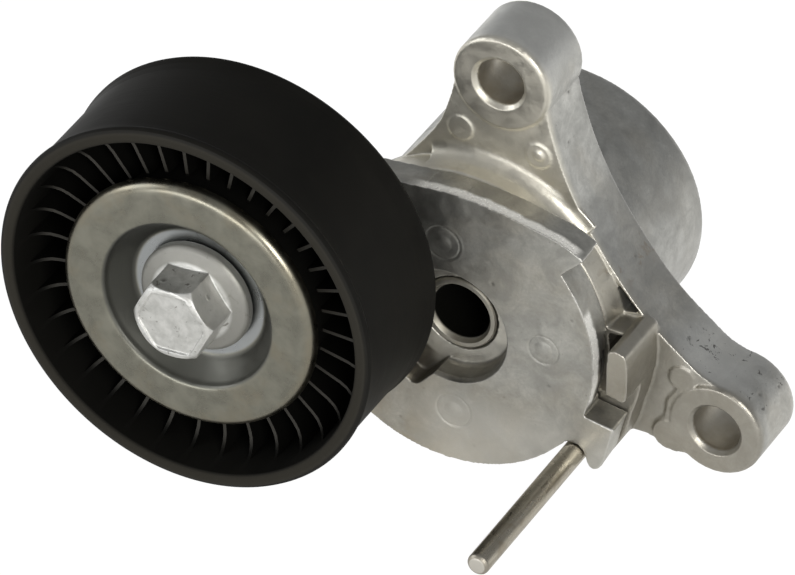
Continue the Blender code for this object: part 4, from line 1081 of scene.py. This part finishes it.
def pin_piece():
    """Dowel with a domed front end and a tapered tip."""
    front, tip = PIN_FRONT, PIN_TIP
    profile = [(0.0, front), (1.2, front + 0.02), (1.5, front + 0.1), (1.8, front + 0.34),
               (1.95, front + 0.55), (PIN_RADIUS, front + 0.8), (PIN_RADIUS, -43.8),
               (1.2, -39.6), (0.85, tip + 0.2), (0.7, tip), (0.0, tip)]
    turned_piece("lock_pin_dowel", "lock_pin", "pin_steel", "pin", soft(profile, 0.1, 2),
                 pin_material(), PIN_AXIS, segments=64)


# --------------------------------------------------------------------- spring
COIL_RADIUS, WIRE_RADIUS, COIL_TURNS = 16.6, 2.0, 4.75
COIL_REAR, COIL_FRONT = -10.0, -32.5      # depths of the wire's centre at the ends
COIL_START = -80.0                        # degrees from +X at the rear end
COIL_STEPS, WIRE_SIDES = 300, 16


def spring_material():
    mat = MaterialGraph("spring_wire")
    cloud = mat.noise(scale=500.0, detail=4.0, rough=0.6)
    mat.ground(cloud, (0.10, 0.10, 0.105), (0.24, 0.235, 0.23))
    mat.rough = mat.ramp(cloud, to=(0.3, 0.5))
    mat.normal = mat.bump(mat.noise(scale=5000.0, detail=3.0), strength=0.3, size=0.03)
    return mat.done(metallic=1.0)


def spring_piece():
    material = spring_material()
    bm = bmesh.new()
    rings = []
    for i in range(COIL_STEPS + 1):
        t = i / COIL_STEPS
        a = math.radians(COIL_START) + 2 * math.pi * COIL_TURNS * t
        depth = COIL_REAR + (COIL_FRONT - COIL_REAR) * t
        # the wire's ends are slightly rounded
        wire = WIRE_RADIUS * {0: 0.86, 1: 0.97}.get(min(i, COIL_STEPS - i), 1.0)
        ring = []
        for k in range(WIRE_SIDES):
            b = 2 * math.pi * k / WIRE_SIDES
            radius = COIL_RADIUS + wire * math.cos(b)
            ring.append(bm.verts.new((radius * math.cos(a), depth + wire * math.sin(b),
                                      radius * math.sin(a))))
        rings.append(ring)
    for ring, following in zip(rings, rings[1:]):
        for k in range(WIRE_SIDES):
            m = (k + 1) % WIRE_SIDES
            bm.faces.new((ring[k], following[k], following[m], ring[m]))
    bm.faces.new(rings[0])
    bm.faces.new(list(reversed(rings[-1])))
    ob = make_object("spring_coil", bm, material, 50.0)
    register(ob, "torsion_spring", "base")


# -------------------------------------------------------------------- bearing
BALL_PITCH_RADIUS = 14.25
GROOVE_RADIUS = 3.4
# name, node, slot, depth of the outward face, direction inward along Y
SEALS = (("front_seal_lip", "front_seal", "seal_rubber", -67.8, 1),
         ("rear_seal_lip", "rear_seal", "rear_seal_rubber", -56.4, -1))


def groove(side):
    """Ball groove from front to rear, outside (1) or inside (-1) the balls."""
    middle = 0.5 * (BEARING_FRONT + BEARING_REAR)
    span, steps = 45.0, 14
    angles = [math.radians(-span + 2 * span * i / steps) for i in range(steps + 1)]
    return [(BALL_PITCH_RADIUS + side * GROOVE_RADIUS * math.cos(a),
             middle + GROOVE_RADIUS * math.sin(a)) for a in angles]


def bearing_races():
    front, rear, radius = BEARING_FRONT, BEARING_REAR, BEARING_RADIUS
    ground = plain_steel("bearing_ground_steel", PULLEY_AXIS, (0.60, 0.60, 0.60),
                         rough=(0.16, 0.26), lines=12000.0, bump=0.12)
    outer = [(16.6, front), (radius - 0.4, front), (radius, front + 0.4), (radius, rear - 0.4),
             (radius - 0.4, rear), (16.6, rear), (16.6, -58.2)]
    outer += groove(1)[::-1] + [(16.6, -66.0)]
    turned_piece("bearing_outer_race", "bearing_outer_ring", "bearing_outer_steel",
                 "pulley_body", soft(outer, 0.12), ground)
    inner = [(8.5, front), (11.9, front), (11.9, -66.0)] + groove(-1)
    inner += [(11.9, -58.2), (11.9, rear), (8.5, rear)]
    turned_piece("bearing_inner_race", "bearing_inner_ring", "bearing_inner_steel",
                 "arm", soft(inner, 0.12), ground)


def bearing_balls():
    ball = plain_steel("bearing_ball_steel", PULLEY_AXIS, (0.68, 0.68, 0.68),
                       rough=(0.08, 0.14), lines=2500.0, bump=0.05)
    for i in range(1, 9):
        node = "ball_%d" % i
        low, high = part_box(node)
        centre = (low + high) / 2
        bm = bmesh.new()
        bmesh.ops.create_icosphere(bm, subdivisions=4,
                                   radius=max(high.x - low.x, high.z - low.z) / 2 / MM)
        bmesh.ops.translate(bm, verts=bm.verts,
                            vec=(centre.x / MM, centre.y / MM - DATUM, centre.z / MM))
        ob = make_object("bearing_" + node, bm, ball, 90.0)
        register(ob, node, "bearing_cage")


def ball_cage():
    """The CAD cage stays, with a moulded material and a small bevel."""
    cage = NODES["ball_cage"]
    cage.data.materials.clear()
    cage.data.materials.append(moulded("cage_moulded", (0.36, 0.27, 0.14)))
    bevel = cage.modifiers.new("soft", 'BEVEL')
    bevel.width, bevel.segments = 0.12 * MM, 2
    bevel.limit_method, bevel.angle_limit = 'ANGLE', math.radians(40)


def bearing_seals():
    """Rubber rings with a shallow channel in the outward face."""
    rubber = moulded("seal_moulded_rubber", (0.022, 0.020, 0.018), rough=(0.5, 0.68),
                     grain=3500.0, bump=0.4)
    for name, node, slot, face, inward in SEALS:
        channel, back = face + 0.25 * inward, face + 0.8 * inward
        profile = [(12.2, face), (13.0, face), (13.3, channel), (15.1, channel),
                   (15.4, face), (16.3, face), (16.3, back), (12.2, back)]
        turned_piece(name, node, slot, "pulley_body", soft(profile, 0.1), rubber)


def spacer_and_shield():
    turned = plain_steel("spacer_turned_steel", PULLEY_AXIS, (0.52, 0.51, 0.49),
                         rough=(0.26, 0.36))
    spacer = [(4.3, -68.1), (7.9, -68.1), (8.2, -67.8), (8.2, -56.4), (7.9, -56.1),
              (4.3, -56.1)]
    turned_piece("spacer_sleeve", "pulley_spacer", "spacer_steel", "arm",
                 soft(spacer, 0.1), turned)
    pressed = plain_steel("shield_pressed_steel", PULLEY_AXIS, (0.50, 0.49, 0.46),
                          rough=(0.30, 0.44), tint=(0.40, 0.34, 0.26))
    shield = [(4.4, -55.8), (17.4, -55.8), (18.9, -54.6), (18.6, -54.0), (17.1, -55.0),
              (4.4, -55.0)]
    turned_piece("rear_shield_pressing", "rear_dust_shield", "shield_steel", "arm",
                 soft(shield, 0.22), pressed)


# ---------------------------------------------------------------- pivot parts
def shaft_material():
    """Ground steel, with painted shade: black and dull inside the bore."""
    mat, radius = steel_graph("shaft_ground_steel", PIVOT_AXIS, (0.46, 0.44, 0.385),
                              rough=(0.42, 0.52), tint=(0.42, 0.38, 0.30))
    # painted shade: the bore is coloured near black
    bore = mat.ramp_mm(radius, span=(5.25, 5.5), to=FALL)
    mat.layer((0.004, 0.004, 0.003), bore)
    mat.rough = mat.add(mat.rough, mat.mul(bore, 0.4))
    return mat.done(metallic=mat.sub(1.0, bore), Specular_IOR_Level=0.05)


def pivot_piece(name, node, slot, body, profile, material, radius=0.18):
    turned_piece(name, node, slot, body, soft(profile, radius), material, PIVOT_AXIS)


def pivot_pieces():
    pivot_piece("pivot_tube", "pivot_shaft", "shaft_steel", "base",
                [(5.2, -3.7), (6.0, -3.7), (6.0, -39.35), (6.9, -40.25), (6.9, -40.6),
                 (6.65, -40.9), (5.9, -40.9), (5.2, -39.8)], shaft_material(), radius=0.1)
    bush = moulded("bush_moulded", (0.46, 0.42, 0.33))
    pivot_piece("bush_sleeve_front", "front_bush", "bush_polymer", "arm",
                [(6.3, -37.9), (8.0, -37.9), (8.0, -27.0), (6.3, -27.0)], bush)
    pivot_piece("bush_sleeve_rear", "rear_bush", "rear_bush_polymer", "arm",
                [(6.3, -24.0), (8.0, -24.0), (8.0, -13.5), (6.3, -13.5)], bush)
    bronze = plain_steel("washer_bronze", PIVOT_AXIS, (0.50, 0.36, 0.18), rough=(0.28, 0.40))
    pivot_piece("thrust_disc", "thrust_washer", "thrust_washer_bronze", "base",
                [(6.3, -12.7), (11.4, -12.7), (11.4, -10.8), (6.3, -10.8)], bronze)
    dark = moulded("friction_moulded", (0.035, 0.032, 0.028))
    pivot_piece("friction_damper", "friction_ring", "friction_ring_polymer", "arm",
                [(20.6, -38.5), (24.1, -38.5), (24.1, -34.0), (22.4, -34.0), (20.6, -35.6)],
                dark)
    # the spring's cup leaves a gap of 60 degrees
    cup = [(12.4, -4.3), (21.4, -4.3), (21.4, -7.2), (19.4, -7.2), (19.4, -6.2), (12.4, -6.2)]
    turned_piece("spring_cup", "spring_seat", "spring_seat_polymer", "base", soft(cup, 0.2),
                 dark, PIVOT_AXIS, segments=96, start=-70.0, sweep=300.0)


# ------------------------------------------------------- stage, in metres
FLOOR_HALF = 3.0
FLOOR_GAP = 0.0004      # below the lowest point of the CAD frame
# name, place from the middle of the frame, size, power, colour
LIGHTS = (
    ("key", (0.74, -0.80, 0.52), (0.45, 0.45), 7.0, (1.0, 0.99, 0.96)),
    ("left", (-0.90, -0.45, 0.40), (0.6, 0.5), 2.6, (0.97, 0.985, 1.0)),
    ("low", (-0.25, -1.05, 0.14), (0.9, 0.24), 3.2, (1.0, 1.0, 1.0)),
)


def floor_material():
    """Matt paper, glowing more towards the rear and near white to the camera."""
    mat = MaterialGraph("floor_paper")
    tone = mat.noise(scale=300.0, detail=3.0, rough=0.5)
    mat.colour = mat.mix(tone, (0.80, 0.80, 0.79), (0.83, 0.83, 0.82))
    mat.rough = 0.8
    mat.normal = mat.bump(mat.noise(scale=2500.0, detail=3.0), strength=0.1, size=0.05)
    glow = mat.ramp(mat.xyz()[1], span=(-0.10, 0.05), to=(0.22, 0.50))
    mat.done(metallic=0.0, Emission_Color=(1.0, 0.99, 0.97), Emission_Strength=glow)
    white = mat.node("ShaderNodeEmission")
    white.inputs["Color"].default_value = (1.0, 1.0, 1.0, 1.0)
    white.inputs["Strength"].default_value = 1.08
    seen = mat.node("ShaderNodeLightPath").outputs["Is Camera Ray"]
    mix = mat.node("ShaderNodeMixShader")
    mat.set(mix.inputs[0], mat.mul(seen, 0.88))
    mat.set(mix.inputs[1], mat.principled.outputs[0])
    mat.set(mix.inputs[2], white.outputs[0])
    mat.set(mat.tree.nodes["Material Output"].inputs["Surface"], mix.outputs[0])
    return mat.material


def lay_floor():
    mesh = bpy.data.meshes.new("floor")
    half, z = FLOOR_HALF, CAD_LO.z - FLOOR_GAP
    corners = [(-half, -half, z), (half, -half, z), (half, half, z), (-half, half, z)]
    mesh.from_pydata(corners, [], [(0, 1, 2, 3)])
    floor = link("floor", mesh)
    mesh.materials.append(floor_material())


def place_lights():
    """Area lights facing the middle of the frame."""
    middle = (CAD_LO + CAD_HI) / 2
    for name, offset, size, power, colour in LIGHTS:
        light = bpy.data.lights.new(name, 'AREA')
        light.shape, light.size, light.size_y = 'RECTANGLE', size[0], size[1]
        light.energy, light.color = power, colour
        ob = link(name, light)
        ob.location = middle + Vector(offset)
        ob.rotation_mode = 'QUATERNION'
        ob.rotation_quaternion = (-Vector(offset)).to_track_quat('-Z', 'Y')


def make_world():
    """Even grey-white light, stronger at and below the horizon than overhead."""
    world = bpy.data.worlds.new("studio")
    world.use_nodes = True
    tree = world.node_tree
    background = tree.nodes["Background"]
    coords = tree.nodes.new("ShaderNodeTexCoord")
    split = tree.nodes.new("ShaderNodeSeparateXYZ")
    tree.links.new(coords.outputs["Generated"], split.inputs[0])
    ramp = tree.nodes.new("ShaderNodeMapRange")
    ramp.interpolation_type = 'SMOOTHSTEP'
    tree.links.new(split.outputs[2], ramp.inputs[0])
    # height from and to, then strength from and to
    for k, value in enumerate((0.0, 0.28, 0.66, 0.30), start=1):
        ramp.inputs[k].default_value = value
    tree.links.new(ramp.outputs[0], background.inputs["Strength"])
    background.inputs["Color"].default_value = (0.95, 0.96, 0.97, 1.0)
    scene = bpy.context.scene
    scene.world = world
    scene.view_settings.view_transform = 'Standard'
    scene.view_settings.look = 'None'


def place_camera():
    """Camera at the front right, above, looking down at the idler."""
    turn, tilt = math.radians(27.867), math.radians(36.107)
    right = (math.cos(turn), math.sin(turn), 0.0)
    up = (-math.sin(turn) * math.sin(tilt), math.cos(turn) * math.sin(tilt), math.cos(tilt))
    back = (math.sin(turn) * math.cos(tilt), -math.cos(turn) * math.cos(tilt), math.sin(tilt))
    spot = (0.615473, -1.22861, 0.980101)
    camera = bpy.data.cameras.new("camera")
    camera.sensor_width, camera.sensor_fit, camera.lens = 36.0, 'HORIZONTAL', 447.45
    camera.clip_start, camera.clip_end = 0.1, 10.0
    ob = link("camera", camera)
    ob.matrix_world = Matrix((*zip(right, up, back, spot), (0, 0, 0, 1)))
    bpy.context.scene.camera = ob


base_casting()
arm_casting()
pulley_piece()
cover_piece()
bolt_piece()
pin_piece()
spring_piece()
bearing_races()
bearing_balls()
ball_cage()
bearing_seals()
spacer_and_shield()
pivot_pieces()
lay_floor()
place_lights()
make_world()
place_camera()
